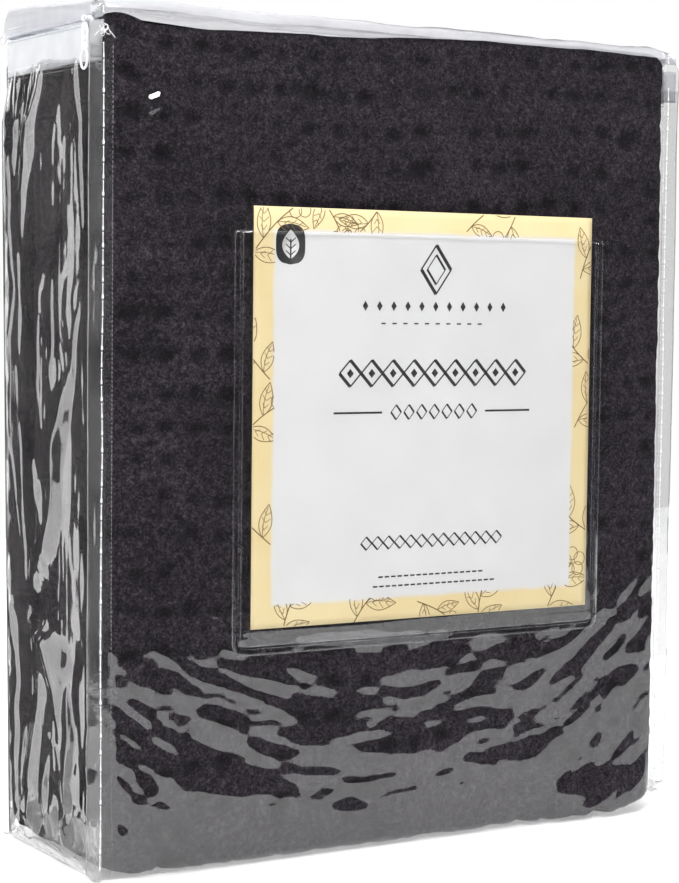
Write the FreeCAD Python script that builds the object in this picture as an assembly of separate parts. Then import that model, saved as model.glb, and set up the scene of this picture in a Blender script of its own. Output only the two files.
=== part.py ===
import FreeCAD, Part
import math
import os

# A waffle-weave throw blanket, folded into a block and packed in a clear vinyl zip bag.
# Millimetres, +Z up.  Origin: centre of the footprint on the surface the bag stands on.
# The front, with the card pocket, faces -Y; +X is to the right as seen from the front.
# One long clear sheet makes the front, the bottom and the back.  Two side gussets are sewn
# to it with outward seam allowances.  The lid carries on from the front sheet, bends along
# the zipper line at the front, and is zipped round the left side, the back and the right.

# ---- driving dimensions ----
HEIGHT = 400.0          # overall height of the bag
WIDTH = 318.0           # between the outer faces of the two gussets
DEPTH = 112.0           # between the outer faces of the front and the back sheet
VINYL = 0.3             # thickness of every clear sheet
FLANGE = 8.0            # seam allowance that stands out past the gussets
BOTTOM_BEND = 14.0      # outside radius where the sheet turns under the bag
LID_BEND = 4.0          # outside radius of the lid's long edges
ZIP_LINE = 391.0        # height of the zipper's centre line, and of the lid's bend
LID_SPLIT = 0.5         # half the gap between the front sheet and the lid at that bend

TAPE = 0.5              # thickness of the zipper tape
TAPE_DROP = 18.0        # from the zipper line down to the lower tape's free edge
TAPE_RISE = 4.9         # from the zipper line up to the upper tape's free edge
COIL_GAP = 0.6          # half the gap between the two coils, where the slider's web runs
COIL_HEIGHT = 1.7
COIL_THICK = 1.4
TAPE_OVERLAP = 6.0      # how far the lower tape lies over the gusset and the back sheet
SKIRT_HEIGHT = 5.8      # how far the lid's edge turns down over the upper tape

BLANKET_WIDTH = 312.0
BLANKET_GAP = 0.9       # from the bag's outside to the blanket, front, bottom and back
BLANKET_TOP = 395.0
BLANKET_ROUND = 12.0

STITCH_PITCH = 7.7
STITCH_LENGTH = 5.6
THREAD = 0.3
SEAM_LINE = 1.2         # stitch row's distance outside the gusset

POCKET_LEFT = -95.5
POCKET_RIGHT = 116.5
POCKET_BOTTOM = 101.0
POCKET_TOP = 301.0
POCKET_WELD = 4.5       # width of the welded strip
POCKET_ROUND = 6.0
POCKET_FILM = 0.3
CARD_LEFT = -86.0
CARD_WIDTH = 195.0
CARD_HEIGHT = 199.0
CARD_BOTTOM = 113.3
CARD_THICK = 0.35
CARD_PLAY = 0.225       # clear space on each face of the card

SLIDER_Y = -42.5        # centre of the slider when the zipper is closed
SLIDER_LENGTH = 9.0
SLIDER_HEIGHT = 7.6
SLIDER_PLATE = 1.1
SLIDER_PLAY = 0.35      # from the coil to each plate
WEB_LENGTH = 5.0
WEB_THICK = 1.0
BAR_RADIUS = 0.6        # the bar that the pull hangs on
BAR_STANDOFF = 2.0      # from the slider's outer plate to the bar's axis
BAR_LENGTH = 5.6
BAR_RISE = 3.5          # the bar's height above the zipper's centre line
POST = 1.1
EYE_PLAY = 0.08         # radial running clearance of the pull on its bar
EYE_OUTER = 1.6
EYE_WIDTH = 3.0
PULL_WIDTH = 6.0
PULL_THICK = 1.2
PULL_LENGTH = 14.4      # from the bar's axis to the end of the flat plate
RING_WIDTH = 8.6
RING_HEIGHT = 10.0
RING_WIRE = 1.4

# ---- worked-out places ----
WALL_X = WIDTH / 2.0
WALL_Y = DEPTH / 2.0
EDGE_X = WALL_X + FLANGE
ZIP_X = WALL_X + TAPE                       # outer face of the tape on the two sides
ZIP_Y = WALL_Y + TAPE                       # outer face of the tape on the back
SKIRT_X = ZIP_X + VINYL
SKIRT_Y = ZIP_Y + VINYL
TAPE_BOTTOM = ZIP_LINE - TAPE_DROP
PANEL_TOP = TAPE_BOTTOM + TAPE_OVERLAP      # top edge of the gussets and of the back sheet
FLANGE_TOP = TAPE_BOTTOM - 0.5              # the back flanges stop just below the tape
LOWER_COIL = (ZIP_LINE - COIL_GAP - COIL_HEIGHT, ZIP_LINE - COIL_GAP)
UPPER_COIL = (ZIP_LINE + COIL_GAP, ZIP_LINE + COIL_GAP + COIL_HEIGHT)
TAPE_TOP = ZIP_LINE + TAPE_RISE
LID_BOTTOM = ZIP_LINE + LID_SPLIT
SKIRT_BOTTOM = HEIGHT - SKIRT_HEIGHT
TAPE_FRONT = -WALL_Y + 2 * VINYL            # the tapes end against the front seam allowance
COIL_MID_X = WALL_X + TAPE / 2.0
COIL_MID_Y = WALL_Y + TAPE / 2.0
PLATE_IN = COIL_MID_X - COIL_THICK / 2.0 - SLIDER_PLAY
PLATE_OUT = COIL_MID_X + COIL_THICK / 2.0 + SLIDER_PLAY
BAR_X = -(PLATE_OUT + SLIDER_PLATE + BAR_STANDOFF)
BAR_Z = ZIP_LINE + BAR_RISE


def box(x0, x1, y0, y1, z0, z1):
    """A box between two corners."""
    return Part.makeBox(x1 - x0, y1 - y0, z1 - z0, FreeCAD.Vector(x0, y0, z0))


def join(shapes):
    """One solid out of pieces that touch or overlap."""
    result = shapes[0]
    for shape in shapes[1:]:
        result = result.fuse(shape)
    return result.removeSplitter()


def rod(radius, length, start, direction):
    return Part.makeCylinder(radius, length, start, direction)


def bag_profile(inset, top):
    """The bag's inside or outside in the YZ plane: square above, rounded at the bottom."""
    y = WALL_Y - inset
    z = inset
    r = BOTTOM_BEND - inset
    s = r * math.sqrt(0.5)
    left_mid = FreeCAD.Vector(0, -y + r - s, z + r - s)
    right_mid = FreeCAD.Vector(0, y - r + s, z + r - s)
    points = [FreeCAD.Vector(0, -y, top), FreeCAD.Vector(0, -y, z + r), FreeCAD.Vector(0, -y + r, z),
              FreeCAD.Vector(0, y - r, z), FreeCAD.Vector(0, y, z + r), FreeCAD.Vector(0, y, top)]
    edges = [Part.LineSegment(points[0], points[1]).toShape(),
             Part.Arc(points[1], left_mid, points[2]).toShape(),
             Part.LineSegment(points[2], points[3]).toShape(),
             Part.Arc(points[3], right_mid, points[4]).toShape(),
             Part.LineSegment(points[4], points[5]).toShape(),
             Part.LineSegment(points[5], points[0]).toShape()]
    return Part.Face(Part.Wire(edges))


def lid_profile(inset, back):
    """The lid's inside or outside in the YZ plane, open downwards, its long edges rounded."""
    y0 = -WALL_Y + inset
    y1 = back - inset
    z = HEIGHT - inset
    r = LID_BEND - inset
    s = r * math.sqrt(0.5)
    points = [FreeCAD.Vector(0, y0, LID_BOTTOM), FreeCAD.Vector(0, y0, z - r),
              FreeCAD.Vector(0, y0 + r, z), FreeCAD.Vector(0, y1 - r, z),
              FreeCAD.Vector(0, y1, z - r), FreeCAD.Vector(0, y1, LID_BOTTOM)]
    front_mid = FreeCAD.Vector(0, y0 + r - s, z - r + s)
    back_mid = FreeCAD.Vector(0, y1 - r + s, z - r + s)
    edges = [Part.LineSegment(points[0], points[1]).toShape(),
             Part.Arc(points[1], front_mid, points[2]).toShape(),
             Part.LineSegment(points[2], points[3]).toShape(),
             Part.Arc(points[3], back_mid, points[4]).toShape(),
             Part.LineSegment(points[4], points[5]).toShape(),
             Part.LineSegment(points[5], points[0]).toShape()]
    return Part.Face(Part.Wire(edges))


def across(face, x0, x1):
    """A YZ face drawn at x = 0, made solid between two values of x."""
    moved = face.copy()
    moved.translate(FreeCAD.Vector(x0, 0, 0))
    return moved.extrude(FreeCAD.Vector(x1 - x0, 0, 0))


def blanket():
    y = WALL_Y - BLANKET_GAP
    half = BLANKET_WIDTH / 2.0
    block = box(-half, half, -y, y, BLANKET_GAP, BLANKET_TOP)
    return block.makeFillet(BLANKET_ROUND, block.Edges)


def wrap_sheet():
    """Front, bottom and back in one sheet, as wide as the seam allowances."""
    front_top = ZIP_LINE - LID_SPLIT
    outside = across(bag_profile(0.0, front_top), -EDGE_X, EDGE_X)
    inside = across(bag_profile(VINYL, HEIGHT), -EDGE_X - 1.0, EDGE_X + 1.0)
    sheet = outside.cut(inside)
    sheet = sheet.cut(box(-EDGE_X - 1.0, EDGE_X + 1.0, 0.0, WALL_Y + 1.0, PANEL_TOP, HEIGHT))
    for side in (-1, 1):
        x0, x1 = sorted((side * WALL_X, side * (EDGE_X + 1.0)))
        sheet = sheet.cut(box(x0, x1, 0.0, WALL_Y + 1.0, FLANGE_TOP, HEIGHT))
    return sheet


def gusset(side):
    """A side panel with its seam allowance turned outwards along front, bottom and back."""
    panel_x = sorted((side * WALL_X, side * (WALL_X - VINYL)))
    panel = across(bag_profile(VINYL, PANEL_TOP), panel_x[0], panel_x[1])
    flange_x = sorted((side * (WALL_X - VINYL), side * EDGE_X))
    outer = across(bag_profile(VINYL, FLANGE_TOP), flange_x[0], flange_x[1])
    inner = across(bag_profile(2 * VINYL, HEIGHT), flange_x[0] - 1.0, flange_x[1] + 1.0)
    turned = outer.cut(inner)
    front_strip = box(flange_x[0], flange_x[1], -WALL_Y + VINYL, -WALL_Y + 2 * VINYL,
                      FLANGE_TOP - 1.0, ZIP_LINE - LID_SPLIT)
    return join([panel, turned, front_strip])


def stitch_row(start, step, count, size):
    """Short thread dashes: size is each dash's extent along X, Y and Z from its own corner."""
    dashes = []
    for i in range(count):
        corner = start + step * float(i)
        dashes.append(Part.makeBox(size[0], size[1], size[2], corner))
    return Part.makeCompound(dashes)


def upright_stitches(side, y_outer, y_inner, z0, z1):
    """A seam's stitches up a corner, on both faces of its two sheets."""
    count = int((z1 - z0) / STITCH_PITCH)
    x = side * (WALL_X + SEAM_LINE) - THREAD / 2.0
    step = FreeCAD.Vector(0, 0, STITCH_PITCH)
    rows = []
    for y in (y_outer, y_inner):
        rows.append(stitch_row(FreeCAD.Vector(x, y, z0), step, count, (THREAD, THREAD, STITCH_LENGTH)))
    return Part.makeCompound([dash for row in rows for dash in row.Solids])


def front_stitches(side):
    return upright_stitches(side, -WALL_Y - THREAD, -WALL_Y + 2 * VINYL,
                            BOTTOM_BEND + 6.0, TAPE_BOTTOM - 4.0)


def back_stitches(side):
    return upright_stitches(side, WALL_Y, WALL_Y - 2 * VINYL - THREAD,
                            BOTTOM_BEND + 6.0, FLANGE_TOP - 4.0)


def bottom_stitches(side):
    """Along the bottom seam, on the upper face of the allowance that lies on the floor."""
    run = DEPTH - 2 * BOTTOM_BEND - 4.0
    count = int(run / STITCH_PITCH)
    x = side * (WALL_X + SEAM_LINE) - THREAD / 2.0
    start = FreeCAD.Vector(x, -run / 2.0, 2 * VINYL)
    return stitch_row(start, FreeCAD.Vector(0, STITCH_PITCH, 0), count,
                      (THREAD, STITCH_LENGTH, THREAD))


def zip_band(inner, outer, back_inner, back_outer, z0, z1, front):
    """A band that runs along the left side, round the back and along the right side."""
    band = box(-outer, outer, front, back_outer, z0, z1)
    return band.cut(box(-inner, inner, front - 1.0, back_inner, z0 - 1.0, z1 + 1.0))


def zip_tape(z0, z1, tab_z0, tab_z1):
    """One tape, with its two ends turned out behind the front seam allowance."""
    band = zip_band(WALL_X, ZIP_X, WALL_Y, ZIP_Y, z0, z1, TAPE_FRONT)
    tabs = [box(-EDGE_X + 1.0, -WALL_X, TAPE_FRONT, TAPE_FRONT + TAPE, tab_z0, tab_z1),
            box(WALL_X, EDGE_X - 1.0, TAPE_FRONT, TAPE_FRONT + TAPE, tab_z0, tab_z1)]
    return join([band] + tabs)


def zip_coil(z_range):
    half = COIL_THICK / 2.0
    return zip_band(COIL_MID_X - half, COIL_MID_X + half, COIL_MID_Y - half, COIL_MID_Y + half,
                    z_range[0], z_range[1], TAPE_FRONT + TAPE)


def tape_stitches(z, x_face, y_face, front):
    """Stitches along a tape: the left run, the back run and the right run."""
    side_count = int((y_face - 6.0 - front) / STITCH_PITCH)
    back_count = int((2 * x_face - 12.0) / STITCH_PITCH)
    along_y = FreeCAD.Vector(0, STITCH_PITCH, 0)
    along_x = FreeCAD.Vector(STITCH_PITCH, 0, 0)
    left = stitch_row(FreeCAD.Vector(-x_face - THREAD, front, z), along_y, side_count,
                      (THREAD, STITCH_LENGTH, THREAD))
    right = stitch_row(FreeCAD.Vector(x_face, front, z), along_y, side_count,
                       (THREAD, STITCH_LENGTH, THREAD))
    back = stitch_row(FreeCAD.Vector(-x_face + 6.0, y_face, z), along_x, back_count,
                      (STITCH_LENGTH, THREAD, THREAD))
    return Part.makeCompound(left.Solids + right.Solids + back.Solids)


def card_pocket():
    """A clear film welded to the front sheet along its left, bottom and right edges."""
    hollow = CARD_THICK + 2 * CARD_PLAY
    plate = box(POCKET_LEFT, POCKET_RIGHT, -WALL_Y - hollow - POCKET_FILM, -WALL_Y,
                POCKET_BOTTOM, POCKET_TOP)
    lower = [edge for edge in plate.Edges
             if edge.BoundBox.YLength > 0.5 and edge.BoundBox.ZMax < POCKET_BOTTOM + 1.0]
    plate = plate.makeFillet(POCKET_ROUND, lower)
    return plate.cut(box(POCKET_LEFT + POCKET_WELD, POCKET_RIGHT - POCKET_WELD,
                         -WALL_Y - hollow, -WALL_Y + 1.0, POCKET_BOTTOM + POCKET_WELD, HEIGHT))


def insert_card():
    y = -WALL_Y - CARD_PLAY
    return box(CARD_LEFT, CARD_LEFT + CARD_WIDTH, y - CARD_THICK, y,
               CARD_BOTTOM, CARD_BOTTOM + CARD_HEIGHT)


def lid_sheet():
    """The lid: front strip, top, back skirt, and two side skirts over the upper tape."""
    outside = across(lid_profile(0.0, SKIRT_Y), -SKIRT_X, SKIRT_X)
    inside = across(lid_profile(VINYL, SKIRT_Y), -ZIP_X, ZIP_X)
    shell = outside.cut(inside)
    shell = shell.cut(box(-SKIRT_X - 1.0, SKIRT_X + 1.0, -WALL_Y + VINYL, SKIRT_Y + 1.0,
                          LID_BOTTOM - 1.0, SKIRT_BOTTOM))
    flange_top = HEIGHT - LID_BEND
    flanges = [box(-EDGE_X, -ZIP_X, -WALL_Y, -WALL_Y + VINYL, LID_BOTTOM, flange_top),
               box(ZIP_X, EDGE_X, -WALL_Y, -WALL_Y + VINYL, LID_BOTTOM, flange_top)]
    return join([shell] + flanges)


def lid_flange_stitches():
    """The last stitches of the two front seams, above the lid's bend."""
    rows = []
    for side in (-1, 1):
        x = side * (WALL_X + SEAM_LINE + 1.0) - THREAD / 2.0
        rows.append(Part.makeBox(THREAD, THREAD, STITCH_LENGTH,
                                 FreeCAD.Vector(x, -WALL_Y - THREAD, LID_BOTTOM + 1.5)))
    return Part.makeCompound(rows)


def zip_slider():
    """Two plates on a web that runs between the coils, with a bar for the pull outside."""
    y0 = SLIDER_Y - SLIDER_LENGTH / 2.0
    y1 = SLIDER_Y + SLIDER_LENGTH / 2.0
    z0 = ZIP_LINE - SLIDER_HEIGHT / 2.0
    z1 = ZIP_LINE + SLIDER_HEIGHT / 2.0
    inner = box(-PLATE_IN, -PLATE_IN + SLIDER_PLATE, y0, y1, z0, z1)
    outer = box(-PLATE_OUT - SLIDER_PLATE, -PLATE_OUT, y0, y1, z0, BAR_Z + BAR_RADIUS + 0.9)
    web = box(-PLATE_OUT - 0.2, -PLATE_IN + 0.2, SLIDER_Y - WEB_LENGTH / 2.0,
              SLIDER_Y + WEB_LENGTH / 2.0, ZIP_LINE - WEB_THICK / 2.0, ZIP_LINE + WEB_THICK / 2.0)
    bar = rod(BAR_RADIUS, BAR_LENGTH, FreeCAD.Vector(BAR_X, SLIDER_Y - BAR_LENGTH / 2.0, BAR_Z),
              FreeCAD.Vector(0, 1, 0))
    posts = []
    for end in (-1, 1):
        middle = SLIDER_Y + end * (BAR_LENGTH - POST) / 2.0
        posts.append(box(BAR_X - BAR_RADIUS, -PLATE_OUT - SLIDER_PLATE + 0.2,
                         middle - POST / 2.0, middle + POST / 2.0,
                         BAR_Z - BAR_RADIUS, BAR_Z + BAR_RADIUS))
    return join([inner, outer, web, bar] + posts)


def ellipse_face(half_width, half_height, centre):
    """An upright ellipse in the YZ plane."""
    if half_height >= half_width:
        curve = Part.Ellipse(FreeCAD.Vector(0, 0, half_height), FreeCAD.Vector(0, half_width, 0),
                             FreeCAD.Vector(0, 0, 0))
    else:
        curve = Part.Ellipse(FreeCAD.Vector(0, half_width, 0), FreeCAD.Vector(0, 0, half_height),
                             FreeCAD.Vector(0, 0, 0))
    face = Part.Face(Part.Wire(curve.toShape()))
    face.translate(centre)
    return face


def slider_pull():
    """The pull: an eye on the slider's bar, a flat plate and an oval ring below it."""
    axis = FreeCAD.Vector(0, 1, 0)
    start = FreeCAD.Vector(BAR_X, SLIDER_Y - EYE_WIDTH / 2.0, BAR_Z)
    eye = rod(EYE_OUTER, EYE_WIDTH, start, axis)
    neck_top = BAR_Z - EYE_OUTER * 0.6
    neck = box(BAR_X - PULL_THICK / 2.0, BAR_X + PULL_THICK / 2.0, SLIDER_Y - EYE_WIDTH / 2.0,
               SLIDER_Y + EYE_WIDTH / 2.0, BAR_Z - 4.0, neck_top)
    plate = box(BAR_X - PULL_THICK / 2.0, BAR_X + PULL_THICK / 2.0, SLIDER_Y - PULL_WIDTH / 2.0,
                SLIDER_Y + PULL_WIDTH / 2.0, BAR_Z - PULL_LENGTH, BAR_Z - 3.0)
    ring_z = BAR_Z - PULL_LENGTH - RING_HEIGHT / 2.0 + RING_WIRE
    centre = FreeCAD.Vector(BAR_X - PULL_THICK / 2.0, SLIDER_Y, ring_z)
    ring_outer = ellipse_face(RING_WIDTH / 2.0, RING_HEIGHT / 2.0, centre)
    ring_inner = ellipse_face(RING_WIDTH / 2.0 - RING_WIRE, RING_HEIGHT / 2.0 - RING_WIRE, centre)
    thickness = FreeCAD.Vector(PULL_THICK, 0, 0)
    solid = join([eye, neck, plate, ring_outer.extrude(thickness)])
    solid = solid.cut(ring_inner.extrude(thickness))
    bore = rod(BAR_RADIUS + EYE_PLAY, EYE_WIDTH + 2.0, start - axis, axis)
    return solid.cut(bore)


PARTS = {
    "blanket": blanket(),
    "wrap_sheet": wrap_sheet(),
    "left_gusset": gusset(-1),
    "right_gusset": gusset(1),
    "front_left_stitches": front_stitches(-1),
    "front_right_stitches": front_stitches(1),
    "back_left_stitches": back_stitches(-1),
    "back_right_stitches": back_stitches(1),
    "bottom_left_stitches": bottom_stitches(-1),
    "bottom_right_stitches": bottom_stitches(1),
    "lower_zip_tape": zip_tape(TAPE_BOTTOM, LOWER_COIL[0], TAPE_BOTTOM, LOWER_COIL[0]),
    "lower_zip_coil": zip_coil(LOWER_COIL),
    "lower_tape_stitches": tape_stitches(TAPE_BOTTOM + 2.5, ZIP_X, ZIP_Y, TAPE_FRONT + 4.0),
    "card_pocket": card_pocket(),
    "insert_card": insert_card(),
    "lid_sheet": lid_sheet(),
    "upper_zip_tape": zip_tape(UPPER_COIL[1], TAPE_TOP, UPPER_COIL[1], TAPE_TOP),
    "upper_zip_coil": zip_coil(UPPER_COIL),
    "upper_tape_stitches": tape_stitches(SKIRT_BOTTOM + 0.9, SKIRT_X, SKIRT_Y, TAPE_FRONT + 4.0),
    "lid_flange_stitches": lid_flange_stitches(),
    "zip_slider": zip_slider(),
    "slider_pull": slider_pull(),
}

os.makedirs("parts", exist_ok=True)
for name, shape in PARTS.items():
    shape.exportStep("parts/" + name + ".step")
    print(name, "solids", len(shape.Solids), "valid", shape.isValid(), "mm3", round(shape.Volume, 1))
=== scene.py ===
import math

import bmesh
import bpy
import numpy as np
from mathutils import Matrix, Vector


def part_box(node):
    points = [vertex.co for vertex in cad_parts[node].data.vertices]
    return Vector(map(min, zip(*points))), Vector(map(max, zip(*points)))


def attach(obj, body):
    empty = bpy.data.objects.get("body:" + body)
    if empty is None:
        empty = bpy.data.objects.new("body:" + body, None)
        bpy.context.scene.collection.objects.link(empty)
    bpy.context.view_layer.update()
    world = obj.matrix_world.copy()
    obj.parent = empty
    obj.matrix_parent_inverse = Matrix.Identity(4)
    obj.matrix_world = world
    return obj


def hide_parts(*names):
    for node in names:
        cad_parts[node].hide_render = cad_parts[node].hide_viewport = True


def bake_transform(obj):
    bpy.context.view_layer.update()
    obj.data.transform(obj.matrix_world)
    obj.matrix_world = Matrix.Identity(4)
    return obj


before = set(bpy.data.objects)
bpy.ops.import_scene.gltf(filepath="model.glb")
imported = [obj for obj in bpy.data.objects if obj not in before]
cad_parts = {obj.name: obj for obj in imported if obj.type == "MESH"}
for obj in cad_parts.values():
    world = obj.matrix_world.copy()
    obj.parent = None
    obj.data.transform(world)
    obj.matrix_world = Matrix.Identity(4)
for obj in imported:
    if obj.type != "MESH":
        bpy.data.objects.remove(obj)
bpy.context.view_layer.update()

# ---- sizes read from the frame, in metres ----
MM = 0.001
WRAP_LOW, WRAP_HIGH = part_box("wrap_sheet")
LID_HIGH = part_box("lid_sheet")[1]
GUSSET_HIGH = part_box("left_gusset")[1]
TAPE_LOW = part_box("lower_zip_tape")[0]
UPPER_TAPE_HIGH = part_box("upper_zip_tape")[1]
COIL_LOW, COIL_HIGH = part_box("lower_zip_coil")
TOP_COIL_LOW, TOP_COIL_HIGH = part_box("upper_zip_coil")
CARD_LOW, CARD_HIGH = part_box("insert_card")
POCKET_LOW, POCKET_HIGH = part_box("card_pocket")
BLANKET_LOW, BLANKET_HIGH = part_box("blanket")
SLIDER_LOW, SLIDER_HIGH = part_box("zip_slider")
PULL_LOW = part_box("slider_pull")[0]

# the bag: its flat planes, its seam allowances and its heights
FILM = 0.3 * MM
SHELL = FILM * 0.8
WALL_X = -(GUSSET_HIGH.x - FILM)
WALL_Y = -WRAP_LOW.y
EDGE_X = WRAP_HIGH.x
ALLOWANCE = EDGE_X - WALL_X
TOP = LID_HIGH.z
ZIP_LINE = (COIL_HIGH.z + TOP_COIL_LOW.z) / 2
ZIP_START = -WALL_Y + 2.4 * MM
TAPE_BOTTOM = TAPE_LOW.z
TAPE_TOP = UPPER_TAPE_HIGH.z
BACK_TOP = TAPE_BOTTOM + 6.0 * MM
SKIRT_Y = LID_HIGH.y
SKIRT_DROP = 5.8 * MM
SEAM_LINE = 1.2 * MM
FEED_LINE = 3.2 * MM
BOTTOM_ROUND = 7.0 * MM
FRONT_BULGE = 3.4 * MM
# the folded cloth: its layers and its waffle cells
LAYERS = 16
LAYER = (BLANKET_HIGH.y - BLANKET_LOW.y) / LAYERS
CLOTH = LAYER * 0.9
CLOTH_EDGE = WALL_X - 4.6 * MM
CELL_X = 15.6 * MM
CELL_Z = 17.6 * MM
PIT_DEPTH = 2.9 * MM
# the zipper's slider, the card and its pocket
SLIDER_MIDDLE_Y = (SLIDER_LOW.y + SLIDER_HIGH.y) / 2
BAR_X = SLIDER_LOW.x + 0.6 * MM
BAR_Z = SLIDER_HIGH.z - 1.5 * MM
CARD_MIDDLE_X = (CARD_LOW.x + CARD_HIGH.x) / 2
CARD_MIDDLE_Z = (CARD_LOW.z + CARD_HIGH.z) / 2
CARD_WIDTH = CARD_HIGH.x - CARD_LOW.x
CARD_HEIGHT = CARD_HIGH.z - CARD_LOW.z
CARD_LIFT = 0.95 * MM
CARD_BOW = 0.25 * MM
POCKET_LIFT = 1.65 * MM
POCKET_WELD = 4.5 * MM


# ---- smooth noise, the same at every run ----
def lattice(ix, iy, seed):
    """A fixed pseudo-random number from 0 to 1 for each lattice point."""
    h = np.sin(ix * 127.1 + iy * 311.7 + seed * 74.7) * 43758.5453
    return h - np.floor(h)


def value_noise(x, y, seed):
    """Smooth noise from -1 to 1, one lattice cell to a unit."""
    ix, iy = np.floor(x), np.floor(y)
    fx, fy = x - ix, y - iy
    fx, fy = fx * fx * (3 - 2 * fx), fy * fy * (3 - 2 * fy)
    low = lattice(ix, iy, seed) * (1 - fx) + lattice(ix + 1, iy, seed) * fx
    high = lattice(ix, iy + 1, seed) * (1 - fx) + lattice(ix + 1, iy + 1, seed) * fx
    return 2 * (low * (1 - fy) + high * fy) - 1


def fractal(x, y, seed, octaves):
    """Several layers of noise, each one finer and weaker."""
    total, size = 0.0, 1.0
    for k in range(octaves):
        total = total + size * value_noise(x * 2 ** k, y * 2 ** k, seed + 17 * k)
        size *= 0.5
    return total


def smooth(t):
    """A soft step from 0 to 1."""
    t = np.clip(t, 0.0, 1.0)
    return t * t * (3 - 2 * t)


# ---- mesh builders ----
def new_object(name, verts, faces, material, smooth_shading=True):
    """A mesh object with one material, linked to the scene."""
    mesh = bpy.data.meshes.new(name)
    mesh.from_pydata(verts, [], faces)
    mesh.update()
    if smooth_shading:
        mesh.polygons.foreach_set("use_smooth", [True] * len(mesh.polygons))
    obj = bpy.data.objects.new(name, mesh)
    bpy.context.scene.collection.objects.link(obj)
    if material is not None:
        mesh.materials.append(material)
    return obj


def grid_faces(rows, cols, start, flip=False):
    """Four-sided faces between the points of a grid."""
    i, j = np.meshgrid(np.arange(rows - 1), np.arange(cols - 1), indexing="ij")
    a = start + i * cols + j
    quads = np.stack([a, a + 1, a + cols + 1, a + cols], -1).reshape(-1, 4)
    return quads[:, ::-1] if flip else quads


def grid_normals(points):
    """Unit normals of a grid of points, (d/drow) x (d/dcolumn)."""
    du = np.gradient(points, axis=0)
    dv = np.gradient(points, axis=1)
    n = np.cross(du, dv)
    return n / np.maximum(np.linalg.norm(n, axis=-1, keepdims=True), 1e-12)


def sheet_shell(points, thickness, side):
    """A closed thin shell: the grid of points and its offset, joined round the rim."""
    rows, cols = points.shape[:2]
    offset = points - side * thickness * grid_normals(points)
    count = rows * cols
    verts = np.concatenate([points.reshape(-1, 3), offset.reshape(-1, 3)])
    faces = [grid_faces(rows, cols, 0, side < 0), grid_faces(rows, cols, count, side > 0)]
    index = np.arange(count).reshape(rows, cols)
    rim = np.concatenate([index[0, :], index[1:, -1], index[-1, -2::-1], index[-2:0:-1, 0]])
    following = np.roll(rim, -1)
    band = np.stack([rim, rim + count, following + count, following], -1)
    faces.append(band if side > 0 else band[:, ::-1])
    return verts, np.concatenate(faces)


def shell_object(name, points, thickness, material, side=1.0):
    """A closed shell made from a grid of points, as an object."""
    verts, faces = sheet_shell(points, thickness, side)
    return new_object(name, verts.tolist(), faces.tolist(), material)


def tube_mesh(path, radius, sides, frame_up=(0.0, 0.0, 1.0)):
    """Vertices and faces of a closed-ended tube round a path of points."""
    path = np.asarray(path, float)
    tangent = np.gradient(path, axis=0)
    tangent /= np.maximum(np.linalg.norm(tangent, axis=1, keepdims=True), 1e-12)
    side = np.cross(tangent, frame_up)
    weak = np.linalg.norm(side, axis=1) < 1e-3
    side[weak] = np.cross(tangent[weak], (1.0, 0.0, 0.0))
    side /= np.linalg.norm(side, axis=1, keepdims=True)
    other = np.cross(side, tangent)
    angle = np.linspace(0, 2 * math.pi, sides, endpoint=False)
    radius = np.broadcast_to(np.asarray(radius, float), (len(path),))[:, None, None]
    ring = side[:, None, :] * np.cos(angle)[None, :, None] + other[:, None, :] * np.sin(angle)[None, :, None]
    verts = (path[:, None, :] + ring * radius).reshape(-1, 3)
    faces = []
    for i in range(len(path) - 1):
        for j in range(sides):
            k = (j + 1) % sides
            faces.append((i * sides + j, i * sides + k, (i + 1) * sides + k, (i + 1) * sides + j))
    faces.append(tuple(range(sides))[::-1])
    last = (len(path) - 1) * sides
    faces.append(tuple(range(last, last + sides)))
    return verts, faces


def coarse_backed_shell(outer, inner, step):
    """A closed shell whose hidden side is coarser: every step-th row and column of the same grid."""
    rows, cols = outer.shape[:2]
    keep_r = sorted(set(range(0, rows, step)) | {rows - 1})
    keep_c = sorted(set(range(0, cols, step)) | {cols - 1})
    hidden = inner[np.ix_(keep_r, keep_c)]
    count = rows * cols
    verts = np.concatenate([outer.reshape(-1, 3), hidden.reshape(-1, 3)]).tolist()
    faces = grid_faces(rows, cols, 0).tolist()
    faces += grid_faces(len(keep_r), len(keep_c), count, True).tolist()
    fine = np.arange(count).reshape(rows, cols)
    coarse = count + np.arange(hidden.shape[0] * hidden.shape[1]).reshape(hidden.shape[:2])
    rims = [(fine[end], coarse[end], keep_c) for end in (0, -1)]
    rims += [(fine[:, end], coarse[:, end], keep_r) for end in (0, -1)]
    for fine_line, coarse_line, kept in rims:
        for k in range(len(kept) - 1):
            run = fine_line[kept[k]:kept[k + 1] + 1].tolist()
            faces.append(run + [int(coarse_line[k + 1]), int(coarse_line[k])])
    return verts, faces


def paint_regions(obj, region):
    """Gives a shell's faces the material slot of their place on the grid."""
    corners = np.stack([region[:-1, :-1], region[1:, :-1], region[:-1, 1:], region[1:, 1:]])
    cells, largest = corners.min(0), corners.max(0)
    cells = np.where(largest == 1, 1, cells).reshape(-1)
    rim = np.full(len(obj.data.polygons) - 2 * len(cells), 1 if largest.max() > 0 else 0)
    obj.data.polygons.foreach_set("material_index", np.concatenate([cells, cells, rim]).astype(int).tolist())


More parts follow.
